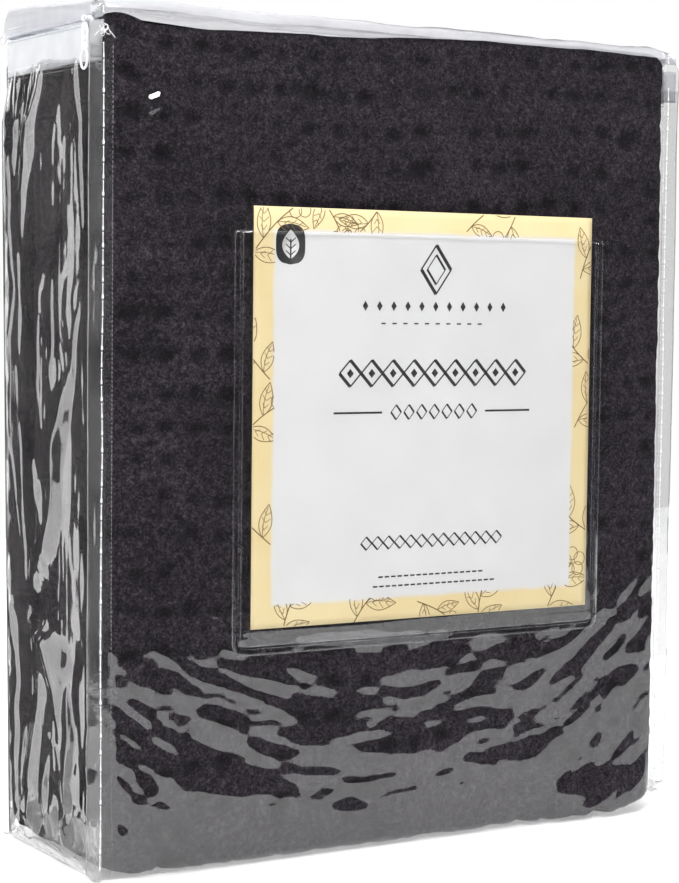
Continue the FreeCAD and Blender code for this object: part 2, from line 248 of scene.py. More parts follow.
class MeshBag:
    """Collects many small meshes into one object."""

    def __init__(self):
        self.verts, self.faces, self.count = [], [], 0

    def add(self, verts, faces):
        """Add one mesh; its faces are renumbered."""
        self.verts.extend(np.asarray(verts, float).tolist())
        self.faces.extend([tuple(int(i) + self.count for i in f) for f in faces])
        self.count += len(verts)

    def make(self, name, material):
        """All that was added, as one object."""
        return new_object(name, self.verts, self.faces, material)

    def drop_unused(self):
        """Deletes the points that no face uses."""
        used = sorted({i for face in self.faces for i in face})
        place = {old: new for new, old in enumerate(used)}
        self.verts = [self.verts[i] for i in used]
        self.faces = [tuple(place[i] for i in face) for face in self.faces]
        self.count = len(self.verts)


# ---- material builder ----
# the share of light that a smooth film mirrors when it is seen head-on
HEAD_ON_MIRROR = 0.042


class Shader:
    """A small helper that adds nodes and links to one material."""

    def __init__(self, name):
        self.material = bpy.data.materials.new(name)
        self.material.use_nodes = True
        self.tree = self.material.node_tree
        self.tree.nodes.clear()
        self.output = self.tree.nodes.new("ShaderNodeOutputMaterial")

    def node(self, kind, **inputs):
        node = self.tree.nodes.new("ShaderNode" + kind)
        for key, value in inputs.items():
            self.put(node, key.replace("_", " "), value)
        return node

    def put(self, node, key, value):
        socket = node.inputs[int(key[1:])] if key[0] == "i" and key[1:].isdigit() else node.inputs[key]
        if isinstance(value, bpy.types.NodeSocket):
            self.tree.links.new(value, socket)
        elif isinstance(value, bpy.types.Node):
            self.tree.links.new(value.outputs[0], socket)
        else:
            socket.default_value = value

    def coords(self, scale=(1, 1, 1)):
        source = self.tree.nodes.new("ShaderNodeTexCoord")
        mapping = self.tree.nodes.new("ShaderNodeMapping")
        mapping.inputs["Scale"].default_value = scale
        self.tree.links.new(source.outputs["Object"], mapping.inputs["Vector"])
        return mapping.outputs[0]

    def noise(self, scale, detail, roughness):
        node = self.node("TexNoise", Scale=scale, Detail=detail, Roughness=roughness, Vector=self.coords())
        return node.outputs["Fac"]

    def math(self, operation, a, b=None, clamp=False):
        node = self.tree.nodes.new("ShaderNodeMath")
        node.operation = operation
        node.use_clamp = clamp
        self.put(node, "i0", a)
        if b is not None:
            self.put(node, "i1", b)
        return node.outputs[0]

    def weighted(self, *terms):
        """The sum of some values, each times its weight."""
        parts = [self.math("MULTIPLY", value, weight) for value, weight in terms]
        total = parts[0]
        for part in parts[1:]:
            total = self.math("ADD", total, part)
        return total

    def mix(self, share, first, second):
        """Two shaders mixed: the share is that of the second."""
        return self.node("MixShader", i0=share, i1=first, i2=second)

    def ramp(self, fac, stops):
        node = self.tree.nodes.new("ShaderNodeValToRGB")
        elements = node.color_ramp.elements
        while len(elements) < len(stops):
            elements.new(0.5)
        for element, (place, colour) in zip(elements, stops):
            element.position = place
            element.color = (*colour, 1.0) if len(colour) == 3 else colour
        self.tree.links.new(fac, node.inputs["Fac"])
        return node.outputs["Color"]

    def bump(self, height, strength, distance):
        return self.node("Bump", Strength=strength, Distance=distance, Height=height).outputs[0]

    def finish(self, shader):
        self.tree.links.new(shader.outputs[0], self.output.inputs["Surface"])
        return self.material


def waffle_cotton():
    """Soft dark cotton: fuzz and yarns, with painted shade: a little lighter on the raised lines and darker
    in the pits.
    """
    s = Shader("waffle_cotton")
    fibre = s.noise(900.0, 5.0, 0.8)
    yarn = s.node("TexWave", Scale=620.0, Distortion=2.2, Detail=2.0, Vector=s.coords((1.0, 1.0, 0.35)))
    yarn.bands_direction = "X"
    cross = s.node("TexWave", Scale=540.0, Distortion=2.2, Detail=2.0, Vector=s.coords((0.3, 0.3, 1.0)))
    cross.bands_direction = "Z"
    weave = s.math("MAXIMUM", yarn.outputs["Fac"], cross.outputs["Fac"])
    nubs = s.noise(380.0, 2.0, 0.6)
    patches = s.noise(22.0, 3.0, 0.5)
    raised = s.tree.nodes.new("ShaderNodeAttribute")
    raised.attribute_name = "raised"
    # the raised term is painted shade: it makes the colour lighter on the ridges and darker in the pits
    tone = s.weighted((fibre, 1.35), (patches, 0.20), (nubs, 0.55), (raised.outputs["Fac"], 0.21))
    colour = s.ramp(s.math("SUBTRACT", tone, 0.695), [
        (0.26, (0.0035, 0.0027, 0.0036)), (0.47, (0.0135, 0.0105, 0.0140)),
        (0.62, (0.0400, 0.0325, 0.0415)), (0.82, (0.1150, 0.0980, 0.1180))])
    height = s.weighted((weave, 0.55), (fibre, 0.8), (nubs, 1.1))
    return s.finish(s.node(
        "BsdfPrincipled", Base_Color=colour, Roughness=0.95, Specular_IOR_Level=0.12, Sheen_Weight=0.14,
        Sheen_Roughness=0.55, Sheen_Tint=(0.30, 0.27, 0.31, 1.0), Normal=s.bump(height, 0.9, 0.0011)))


def clear_vinyl(name, haze, haze_colour, roughness, gloss, wrinkle, tint=0.985, patchy=1.0):
    """A clear film: see-through, a mirror by Fresnel, and a little milky haze."""
    s = Shader(name)
    fine = s.noise(170.0, 2.0, 0.5)
    soft = s.noise(34.0, 3.0, 0.55)
    normal = s.bump(s.math("ADD", s.math("MULTIPLY", fine, 0.15), soft), wrinkle, 0.0012)
    # the mirror share rises towards a glancing view, alike on both faces of the film
    facing = s.node("LayerWeight", Blend=0.5, Normal=normal).outputs["Facing"]
    share = s.math("MULTIPLY", s.math("POWER", facing, 5.0), 1 - HEAD_ON_MIRROR)
    share = s.math("MULTIPLY", s.math("ADD", share, HEAD_ON_MIRROR), gloss, True)
    smudge = s.math("ADD", s.math("MULTIPLY", soft, 0.05), roughness)
    glossy = s.node("BsdfGlossy", Color=(1.0, 1.0, 1.0, 1.0), Roughness=smudge, Normal=normal)
    clear = s.node("BsdfTransparent", Color=(tint, tint, tint, 1.0))
    milk = s.mix(0.5, s.node("BsdfDiffuse", Color=haze_colour), s.node("BsdfTranslucent", Color=haze_colour))
    veil = s.math("ADD", s.math("MULTIPLY", s.math("SUBTRACT", soft, 0.5), patchy), 0.9, True)
    cloudy = s.mix(s.math("MULTIPLY", veil, haze), clear, milk)
    return s.finish(s.mix(share, cloudy, glossy))


def white_tape():
    """White woven tape with fine ribs across."""
    s = Shader("zip_tape_weave")
    ribs = s.node("TexWave", Scale=900.0, Distortion=0.4, Vector=s.coords((1.0, 1.0, 0.6)))
    ribs.bands_direction = "Z"
    fuzz = s.noise(900.0, 3.0, 0.6)
    tone = s.noise(60.0, 2.0, 0.5)
    colour = s.ramp(tone, [(0.3, (0.57, 0.58, 0.605)), (0.7, (0.66, 0.665, 0.675))])
    height = s.math("ADD", ribs.outputs["Fac"], s.math("MULTIPLY", fuzz, 0.5))
    return s.finish(s.node("BsdfPrincipled", Base_Color=colour, Roughness=0.75, Specular_IOR_Level=0.25,
                           Sheen_Weight=0.2, Normal=s.bump(height, 0.5, 0.0002)))


def plain_plastic(name, low, high, roughness, scale=400.0, coat=0.0):
    """Plastic, thread or ink: one tone, slightly mottled."""
    s = Shader(name)
    tone = s.noise(scale, 2.0, 0.5)
    return s.finish(s.node(
        "BsdfPrincipled", Base_Color=s.ramp(tone, [(0.3, low), (0.7, high)]), Coat_Weight=coat,
        Roughness=s.math("ADD", s.math("MULTIPLY", tone, 0.12), roughness),
        Normal=s.bump(tone, 0.15, 0.0002)))


def card_stock():
    """White board with a soft-edged pale yellow border, a little mottled."""
    s = Shader("card_stock")
    place = s.node("SeparateXYZ", Vector=s.coords())
    wobble = s.math("MULTIPLY", s.math("SUBTRACT", s.noise(90.0, 3.0, 0.6), 0.5), 2.2 * MM)
    from_x = s.math("ABSOLUTE", s.math("SUBTRACT", place.outputs["X"], CARD_MIDDLE_X))
    from_z = s.math("ABSOLUTE", s.math("SUBTRACT", place.outputs["Z"], CARD_MIDDLE_Z))
    edge_x = s.math("SUBTRACT", CARD_WIDTH / 2, from_x)
    edge_z = s.math("SUBTRACT", CARD_HEIGHT / 2, from_z)
    inwards = s.math("ADD", s.math("MINIMUM", edge_x, edge_z), wobble)
    band = s.math("DIVIDE", s.math("SUBTRACT", inwards, 9.6 * MM), 2.2 * MM, True)
    mottle = s.noise(30.0, 3.0, 0.5)
    yellow = s.ramp(mottle, [(0.3, (0.74, 0.60, 0.32)), (0.7, (0.79, 0.67, 0.40))])
    white = s.ramp(mottle, [(0.3, (0.67, 0.668, 0.668)), (0.7, (0.71, 0.708, 0.705))])
    colour = s.tree.nodes.new("ShaderNodeMix")
    colour.data_type = "RGBA"
    for number, source in ((0, band), (6, yellow), (7, white)):
        s.tree.links.new(source, colour.inputs[number])
    return s.finish(s.node(
        "BsdfPrincipled", Base_Color=colour.outputs[2], Roughness=0.5, Specular_IOR_Level=0.3,
        Normal=s.bump(s.noise(1500.0, 2.0, 0.5), 0.05, 0.0001)))


COTTON = waffle_cotton()
FRONT_FILM = clear_vinyl("clear_vinyl_front", 0.0015, (0.75, 0.76, 0.80, 1.0), 0.03, 1.0, 0.10)
SIDE_FILM = clear_vinyl("clear_vinyl_side", 0.042, (0.80, 0.78, 0.74, 1.0), 0.03, 1.2, 0.12, 0.985, 3.5)
SEAM_FILM = clear_vinyl("clear_vinyl_seam", 0.024, (0.84, 0.85, 0.84, 1.0), 0.06, 1.0, 0.30, 0.93, 4.0)
TAPE = white_tape()
LID_FILM = clear_vinyl("clear_vinyl_lid", 0.42, (0.89, 0.89, 0.92, 1.0), 0.12, 0.55, 0.5)
POCKET_FILM = clear_vinyl("clear_vinyl_pocket", 0.003, (0.80, 0.81, 0.84, 1.0), 0.03, 1.0, 0.08)
EDGE_FILM = clear_vinyl("clear_vinyl_edge", 0.40, (0.88, 0.88, 0.88, 1.0), 0.15, 1.5, 0.3)
WELD_FILM = clear_vinyl("clear_vinyl_weld", 0.10, (0.80, 0.81, 0.84, 1.0), 0.08, 1.6, 0.3)
COIL = plain_plastic("zip_coil_nylon", (0.62, 0.65, 0.70), (0.78, 0.80, 0.84), 0.32)
THREAD = plain_plastic("seam_thread", (0.82, 0.82, 0.82), (0.95, 0.95, 0.95), 0.6, 1200.0)
CARD_STOCK = card_stock()
INK_BROWN = plain_plastic("ink_brown", (0.17, 0.10, 0.035), (0.24, 0.15, 0.06), 0.55, 700.0)
INK_DARK = plain_plastic("ink_dark", (0.018, 0.018, 0.02), (0.035, 0.035, 0.038), 0.55, 700.0)
PLASTIC = plain_plastic("zip_pull_plastic", (0.80, 0.79, 0.84), (0.88, 0.87, 0.91), 0.22, 300.0, 0.4)


# ---- the shapes that the cloth, the film and the zipper share ----
def ease_out(t):
    """A step from 0 to 1 that starts steep and ends flat."""
    return 1 - (1 - np.clip(t, 0, 1)) ** 2


def front_crown(x, z):
    """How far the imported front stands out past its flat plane, in metres."""
    u = np.abs(x / WALL_X)
    squareness = np.where(x > 0, 22, 9)
    across = 0.3 * (1 - np.clip(u, 0, 1) ** 2) + 0.7 * (1 - np.clip(u, 0, 1) ** squareness)
    up = (0.55 + 0.45 * ease_out(z / (40 * MM))) * ease_out((TOP + 4 * MM - z) / (60 * MM))
    sag = 6.4 * MM * np.exp(-((z - 2 * MM) / (21 * MM)) ** 2) * smooth((x - 0.070) / 0.045)
    return FRONT_BULGE * across * up + sag * smooth((WALL_X - x) / 0.012)


def film_rest(x, z):
    """The front film's smooth surface: the crown and the air under the film."""
    return front_crown(x, z) + 1.1 * MM


def lean(points):
    """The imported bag's stance: wider and deeper at the back, and riding up there along its top."""
    x, y, z = points[..., 0], points[..., 1], points[..., 2]
    back = np.clip((y + WALL_Y) / (2 * WALL_Y), 0, 1.2)
    high = z / TOP
    # the lower right corner of the front stands a little off the table
    off_table = smooth((x - 0.122) / 0.044) * (1 - np.clip(z / 0.055, 0, 1)) ** 2
    off_table = off_table * (1 - 0.5 * np.clip(back, 0, 1))
    # the sides flare towards the back, but not along the zipper, whose slider runs straight
    at_zip = smooth((z - 0.350) / 0.020)
    y = y + back * (12.0 * MM * high - 7.0 * MM + 5.6 * MM * at_zip)
    x = x * (1 + 5.0 * MM * (1 - at_zip) / WALL_X * back)
    front_lift = 2.0 * MM + 1.0 * MM * smooth((-x - 0.100) / 0.050) - 0.6 * MM * smooth((x - 0.100) / 0.050)
    lift = front_lift * (1 - smooth(back)) + 4.8 * MM * smooth(back)
    high_up = smooth((high - 0.80) / 0.15)
    z = z + lift * high_up + 6.0 * MM * smooth(back) * smooth((high - 0.980) / 0.018)
    z = z + 9.0 * MM * off_table
    return np.stack([x, y, z], -1)


def below_tape(z):
    """1 below the zipper's lower tape, 0 along it."""
    return smooth((BACK_TOP + 1 * MM - z) / (11 * MM))


def bottom_bend(z):
    """How far a film has come in from its plane, where it rounds the bottom."""
    turn = np.clip((BOTTOM_ROUND - z) / BOTTOM_ROUND, 0, 1)
    return BOTTOM_ROUND * (1 - np.sqrt(1 - turn ** 2))


def back_out(x, z):
    """How far the back film stands out from its flat plane."""
    near = smooth((WALL_X - np.abs(x)) / (6.5 * MM))
    return near * (0.8 * front_crown(-np.abs(x), z) + 0.5 * MM + 0.5 * MM * fractal(x * 15, z * 15, 71, 3))


def folded_back(z, past, side, lift):
    """The back seam allowance, folded over flat on the back panel."""
    past = past * smooth(z / (12 * MM))
    x = side * (WALL_X + 0.3 * MM - past * 0.95)
    y = WALL_Y + back_out(x, z) + lift + past * 0.16
    return x, y - bottom_bend(z)


def flange_wave(z, past, side):
    """How far a seam allowance waves out of its plane, at a distance past the wall."""
    wave = fractal(z * 26.0, side * 3.0 + 0 * z, 61, 3)
    wave = wave + 1.3 * smooth((95 * MM - z) / (15 * MM)) * fractal(z * 110.0, side * 5.0 + 0 * z, 63, 2)
    return past / ALLOWANCE * 0.45 * MM * wave


def waffle(su, sv):
    """Height of the waffle cloth: 1 on its broad raised lines, 0 in the small pits."""
    wx = su / CELL_X + 0.24 * value_noise(su * 30.0, sv * 17.0, 1)
    wx = wx + 0.09 * value_noise(su * 120, sv * 120, 8)
    wz = sv / CELL_Z + 0.24 * value_noise(su * 17.0, sv * 30.0, 2)
    wz = wz + 0.09 * value_noise(su * 120, sv * 120, 9)
    pit_x = wx - np.floor(wx) - 0.5
    pit_z = wz - np.floor(wz) - 0.5
    depth = 0.40 + 0.60 * lattice(np.floor(wx), np.floor(wz), 12)
    wide = 0.27 + 0.11 * lattice(np.floor(wx), np.floor(wz), 15)
    pit = depth * np.exp(-(pit_x / wide) ** 2 - (pit_z / 0.22) ** 2)
    off_x = wx - np.round(wx)
    off_z = wz - np.round(wz)
    groove = 0.30 * np.exp(-(off_x / 0.30) ** 2 - (off_z / 0.10) ** 2)
    ribs = 0.30 * np.exp(-(off_x / 0.14) ** 2)
    return np.clip(1.0 - pit - groove - ribs * 0.5, 0, 1)


# the front film's ridges, in mm: from x and z, to x and z, width, height
FRONT_RIDGES = [
    (-128, 46, -28, 15, 8.5, 1.35),
    (-155, 76, -129, 50, 3.4, 0.62),
    (-152, 56, -138, 40, 3.0, 0.50),
    (-143, 36, -104, 21, 3.0, 0.50),
    (-154, 20, -140, 6, 3.2, 0.60),
    (-92, 17, -62, 12, 2.4, 0.35),
    (-60, 52, 30, 44, 5.0, 0.55),
    (96, 62, 130, 106, 4.2, 0.62),
    (118, 38, 149, 84, 4.0, 0.60),
    (134, 30, 155, 60, 3.4, 0.50),
    (58, 54, 88, 84, 4.0, 0.50),
    (-139, 353, -132, 357.5, 3.2, 2.30),
]


def ridge(x, z, x0, z0, x1, z1, width, height):
    """A soft ridge in the film along a line; all its sizes are in mm."""
    x0, z0, x1, z1 = x0 * MM, z0 * MM, x1 * MM, z1 * MM
    run_x, run_z = x1 - x0, z1 - z0
    t = np.clip(((x - x0) * run_x + (z - z0) * run_z) / (run_x ** 2 + run_z ** 2), 0, 1)
    waver = 1.4 * MM * fractal(x * 70, z * 70, 47, 2)
    away = np.hypot(x - x0 - t * run_x, z - z0 - t * run_z + waver)
    return height * MM * np.exp(-(away / (width * MM)) ** 2)


def film_relief(x, z):
    """The front film's own waves: slack that hangs in festoons, ripples, a belly and a few ridges."""
    over_pocket = smooth((x - POCKET_LOW.x) / (8 * MM)) * smooth((POCKET_HIGH.x - x) / (8 * MM))
    over_pocket = over_pocket * smooth((z - POCKET_LOW.z) / (8 * MM)) * smooth((TOP * 0.955 - z) / (8 * MM))
    calm = 1 - 0.75 * over_pocket
    lumps = np.cos(2 * math.pi * x / CELL_X) * 0.45 + np.cos(2 * math.pi * z / CELL_Z) * 0.75
    pressed = 0.13 * MM * lumps * (0.75 + 0.65 * value_noise(x * 11, z * 14, 77))
    slack = 0.80 * MM * fractal(x * 13, z * 17, 31, 2)
    # the ripples follow curves that hang from the two upper corners
    hang = z - 62 * MM * (np.abs(x) / WALL_X) ** 3
    warp = 5.0 * MM * fractal(x * 24, z * 24, 33, 2)
    ripples = 0.46 * MM * value_noise((x + warp) * 40, (hang + 0.8 * warp) * 98, 35)
    ripples = ripples + 0.30 * MM * value_noise((x - warp) * 84, (hang + warp) * 190, 36)
    ripples = ripples + 0.07 * MM * value_noise(x * 210, z * 330, 37)
    loose = 1 - 0.80 * smooth((z - 108 * MM) / (30 * MM))
    loose = loose * (0.55 + 0.45 * smooth(z / (36 * MM)))
    belly = 3.2 * MM * np.exp(-((z - 20 * MM) / (38 * MM)) ** 2) * ease_out((z + 1 * MM) / (20 * MM))
    belly = belly * (1.0 + 0.25 * value_noise(x * 11, 0 * z + 2, 41))
    belly = belly * (1 - 0.9 * smooth((x - 0.060) / 0.045))
    ridges = 0.0 * x
    for place in FRONT_RIDGES:
        ridges = ridges + ridge(x, z, *place)
    # a crumpled patch at the top left corner
    corner = smooth((z - (TOP - 34 * MM)) / (16 * MM)) * smooth((-x - 0.085) / 0.030)
    crumple = corner * 0.55 * MM * fractal(x * 130, z * 150, 49, 2)
    return calm * (pressed + slack + ripples * loose) + (belly + ridges) * (1 - over_pocket) + crumple


def front_out(x, z):
    """How far the front film stands out from its flat plane."""
    near_edge = smooth((WALL_X - np.abs(x)) / (np.where(x > 0, 2.8, 6.5) * MM))
    return near_edge * (film_rest(x, z) + film_relief(x, z))


def fold_line(y, z, line, slope, tail, seed):
    """A crease in the side film: a steep face that looks forward, then a long easy one behind.

    The line is a list of (place along Y, height, width of the face) in mm, from the top down."""
    heights = np.array([p[1] for p in line][::-1]) * MM
    places = np.array([p[0] for p in line][::-1]) * MM
    widths = np.array([p[2] for p in line][::-1]) * MM
    centre = np.interp(z, heights, places) + 1.3 * MM * value_noise(z * 60, 0 * z + seed, seed)
    band = np.interp(z, heights, widths) * (1.0 + 0.35 * value_noise(z * 45 + seed, 0 * z, seed + 5))
    ends = smooth((z - heights[0] + 5 * MM) / (10 * MM)) * smooth((heights[-1] + 5 * MM - z) / (10 * MM))
    band = np.maximum(band * (0.25 + 0.75 * ends), 0.5 * MM)
    t = (y - centre) / band
    rise = np.clip(t + 0.5, 0, 1)
    fall = 1 - np.clip((t - 0.5) / tail, 0, 1)
    return slope * band * rise * fall * ends


# the side film's creases: the line of each one, as fold_line takes it, then its slope and its tail
SIDE_FOLDS = [
    ([(28, 361, 1.2), (47, 337, 2.0), (49, 309, 1.4), (44, 276, 1.6), (52, 249, 1.4), (53, 208, 1.8),
      (46, 180, 1.4), (26, 118, 1.6), (21, 76, 1.4), (-9, 54, 1.2), (-21, 10, 1.6)], 0.34, 2.2),
    ([(56, 376, 3), (58, 362, 4), (54, 335, 2)], 0.30, 1.6),
    ([(40, 377, 5), (39, 365, 6), (36, 350, 4), (42, 330, 3)], 0.29, 2.0),
    ([(34, 378, 1.4), (30, 359, 1.6), (32, 340, 1.4)], 0.32, 1.6),
    ([(21, 378, 2), (21, 359, 2.4), (25, 338, 2)], 0.30, 1.4),
    ([(9, 378, 3), (13, 355, 6), (18, 342, 9), (27, 321, 6), (31, 296, 2)], 0.27, 1.5),
    ([(-27, 378, 1.5), (-29, 362, 2.6), (-32, 348, 1.4), (-33, 322, 1.6), (-34, 300, 1)], 0.29, 1.6),
    ([(-6, 276, 1.4), (-5, 230, 1.6)], 0.32, 3.0),
    ([(38, 292, 2.5), (35, 262, 4), (38, 236, 2)], 0.27, 2.0),
    ([(-31, 264, 1.5), (-26, 240, 3), (-20, 222, 6), (-11, 185, 8), (-12, 166, 12), (-4, 147, 12),
      (11, 130, 8), (25, 118, 3)], 0.27, 1.8),
    ([(16, 192, 2), (7, 174, 5), (1, 158, 4)], 0.27, 2.0),
    ([(26, 116, 4), (6, 111, 14), (-12, 105, 22), (-16, 95, 18), (-12, 84, 8), (-12, 66, 4)], 0.26, 1.2),
    ([(9, 100, 3), (6, 78, 7), (12, 60, 8), (16, 38, 10), (20, 10, 9)], 0.27, 1.5),
    ([(-20, 84, 3), (-25, 62, 5), (-22, 40, 4), (-22, 8, 6)], 0.29, 1.4),
    ([(57, 322, 4), (53, 300, 6), (55, 272, 4)], 0.28, 1.0),
    ([(57, 238, 4), (52, 206, 7), (50, 186, 3)], 0.28, 1.0),
    ([(52, 122, 4), (45, 100, 5), (41, 78, 4), (42, 48, 5), (43, 16, 4)], 0.29, 1.4),
    ([(44, 236, 1.2), (36, 196, 2.0), (33, 160, 1.6), (29, 130, 1.2)], 0.31, 2.0),
    ([(8, 262, 1.0), (10, 226, 1.8), (4, 204, 1.2)], 0.30, 2.0),
    ([(30, 60, 3), (33, 40, 4), (30, 14, 5)], 0.29, 1.5),
    ([(0, 50, 2), (4, 34, 4), (2, 10, 5)], 0.29, 1.5),
]


def side_height(y, z):
    """How far the side film stands out from its flat plane."""
    height = 0.9 * MM * fractal(y * 24, z * 9, 101, 3) + 0.42 * MM * fractal(y * 60, z * 26, 105, 3)
    # fine drawn lines run up and down the film, most of them in its back half
    drawn = 0.13 * MM * value_noise(y * 300 + 6 * value_noise(z * 30, y * 20, 107), z * 22, 108)
    drawn = drawn + 0.07 * MM * value_noise(y * 560, z * 34, 110)
    calm = smooth((y + 44 * MM) / (40 * MM))
    height = height * (0.45 + 0.55 * calm) + drawn * (0.25 + 0.75 * calm)
    for number, (line, slope, tail) in enumerate(SIDE_FOLDS):
        height = height + fold_line(y, z, line, slope, tail, 7 * number + 1)
    # two creases across, above the crumpled foot
    for level, size in ((114 * MM, 0.9 * MM), (121 * MM, 0.6 * MM)):
        across = level + 3 * MM * value_noise(y * 30, 0 * y, 113) + 0.05 * y
        height = height + size * np.exp(-np.abs(z - across) / (1.5 * MM)) * smooth((y - 20 * MM) / (10 * MM))
    foot = smooth((46 * MM - z) / (40 * MM))
    height = height + foot * 1.6 * MM * fractal(y * 60 + 9, z * 75, 109, 3)
    fuller = 1.0 * MM * (1 + np.cos(math.pi * np.clip(y / WALL_Y, -1, 1))) * ease_out(z / (60 * MM))
    near = smooth((WALL_Y - y) / (6 * MM)) * smooth((y + WALL_Y) / (2.6 * MM)) * smooth(z / (7 * MM))
    low = below_tape(z)
    return near * (fuller * (0.35 + 0.65 * low) + height * (0.12 + 0.88 * low)) + 0.3 * MM


def side_out(side, y, z):
    """How far the left or the right side film stands out, so that the two aren't alike."""
    if side > 0:
        return side_height(-y * 0.93 + 4 * MM, z * 0.97 + 6 * MM)
    return side_height(y, z)


def inside_film(x, y, z):
    """Keeps the cloth just inside the films of the bag."""
    gap = 0.5 * MM
    low = below_tape(z)
    side_limit = WALL_X - gap + low * np.where(x > 0, side_out(1, y, z), side_out(-1, y, z))
    x = np.clip(x, -side_limit, side_limit)
    front = WALL_Y + front_out(x, z) - gap
    y = np.clip(y, -front, WALL_Y - gap + low * back_out(x, z))
    # the two lower corners follow the bend of the film
    radius = BOTTOM_ROUND - gap
    centre = np.where(y < 0, front, WALL_Y - gap) - radius
    past, below = np.abs(y) - centre, BOTTOM_ROUND - z
    reach = np.maximum(np.hypot(past, below), 1e-9)
    bent = (past > 0) & (below > 0) & (reach > radius)
    y = np.where(bent, np.sign(y) * (centre + past * radius / reach), y)
    z = np.where(bent, BOTTOM_ROUND - below * radius / reach, z)
    return x, y, z


class Outline:
    """Collects the points of a line in the YZ plane, out of straight runs and arcs."""

    def __init__(self):
        self.points = []

    def run(self, start, end, step):
        count = max(2, int(math.dist(start, end) / step))
        for t in np.linspace(0, 1, count, endpoint=False):
            self.points.append((start[0] + (end[0] - start[0]) * t, start[1] + (end[1] - start[1]) * t))

    def arc(self, centre_y, centre_z, radius, first, last, count):
        for t in np.linspace(first, last, count, endpoint=False):
            self.points.append((centre_y + radius * math.cos(t), centre_z + radius * math.sin(t)))


# ---- the blanket ----
def width_path(step_fine, step_rough):
    """Half of the fold: the cloth's cross-section across the width, folded in two twice.

    Returns x, the place in the four-layer stack and the length along the cloth."""
    pitch = LAYER
    left, right = -CLOTH_EDGE, CLOTH_EDGE
    turn = 12.0 * MM
    square = 0.82
    x_left, x_right = left + turn, right - turn
    xs, ws = [], []

    def run(x0, x1, w, step):
        n = max(2, int(abs(x1 - x0) / step))
        for t in np.linspace(0, 1, n, endpoint=False):
            xs.append(x0 + (x1 - x0) * t)
            ws.append(w)

    def turn_round(x0, side, w0, w1, depth, n):
        mid, half = (w0 + w1) / 2, (w0 - w1) / 2
        for t in np.linspace(0, math.pi, n, endpoint=False):
            c, s_ = math.cos(t), math.sin(t)
            xs.append(x0 + side * depth * abs(s_) ** square)
            ws.append(mid + half * math.copysign(abs(c) ** square, c))

    run(WALL_X - 1.6 * MM, x_left, 1.5 * pitch, step_fine)
    turn_round(x_left, -1, 1.5 * pitch, -1.5 * pitch, turn, 26)
    run(x_left, x_right, -1.5 * pitch, step_rough)
    turn_round(x_right, 1, -1.5 * pitch, -0.5 * pitch, turn, 14)
    run(x_right, x_left, -0.5 * pitch, step_rough)
    turn_round(x_left, -1, -0.5 * pitch, 0.5 * pitch, turn * 0.35, 8)
    run(x_left, right, 0.5 * pitch, step_rough)
    xs.append(right)
    ws.append(0.5 * pitch)
    xs, ws = np.array(xs), np.array(ws)
    length = np.concatenate([[0], np.cumsum(np.hypot(np.diff(xs), np.diff(ws)))])
    return xs, ws, length


def height_path(step_fine, step_rough):
    """The middle of the four-layer stack in the YZ plane, folded in two twice.

    Returns y, z, the outward normal and the length along the cloth."""
    stack = 4 * LAYER
    y_out, y_in = 1.5 * stack, 0.5 * stack
    low = BLANKET_LOW.z + stack / 2
    high = BLANKET_HIGH.z - 1.0 * MM
    corner = 17.5 * MM
    line = Outline()
    line.run((-y_out, high), (-y_out, low + corner), step_fine)
    line.arc(-y_out + corner, low + corner, corner, math.pi, 1.5 * math.pi, 12)
    line.run((-y_out + corner, low), (y_out - corner, low), step_fine)
    line.arc(y_out - corner, low + corner, corner, 1.5 * math.pi, 2 * math.pi, 12)
    line.run((y_out, low + corner), (y_out, high - y_in * 2), step_fine * 1.4)
    line.arc(y_out - y_in, high - y_in * 2, y_in, 0, math.pi, 18)
    line.run((y_in, high - y_in * 2), (y_in, low + stack + y_in), step_rough)
    line.arc(0.0, low + stack + y_in, y_in, 0, -math.pi, 10)
    line.run((-y_in, low + stack + y_in), (-y_in, high), step_rough)
    ys, zs = np.array(line.points + [(-y_in, high)]).T
    dy, dz = np.gradient(ys), np.gradient(zs)
    size = np.hypot(dy, dz)
    # the path runs down the front, so its outward side is on the right of its travel
    normal = np.stack([dz / size, -dy / size], -1)
    length = np.concatenate([[0], np.cumsum(np.hypot(np.diff(ys), np.diff(zs)))])
    return ys, zs, normal, length


def push_out(u, v, centre, way, power):
    """Pushes the points past a corner's centre out, from a round corner towards a square one."""
    du, dv = (u - centre[0]) * way[0], (v - centre[1]) * way[1]
    inside = (du > 0) & (dv > 0)
    size = np.maximum(np.hypot(du, dv), 1e-9)
    grow = (np.abs(du / size) ** power + np.abs(dv / size) ** power) ** (-1 / power)
    u = np.where(inside, centre[0] + (u - centre[0]) * grow, u)
    v = np.where(inside, centre[1] + (v - centre[1]) * grow, v)
    return u, v


# the top edge of the cloth's front: places along X in metres, heights in mm
TOP_WAVE_X = np.array([-0.152, -0.145, -0.138, -0.108, -0.081, -0.054, -0.027, 0.0, 0.050, 0.108])
TOP_WAVE_Z = np.array([0.9, -1.4, -3.8, -3.8, -2.8, -1.2, -1.6, 0.1, 2.6, 4.0])


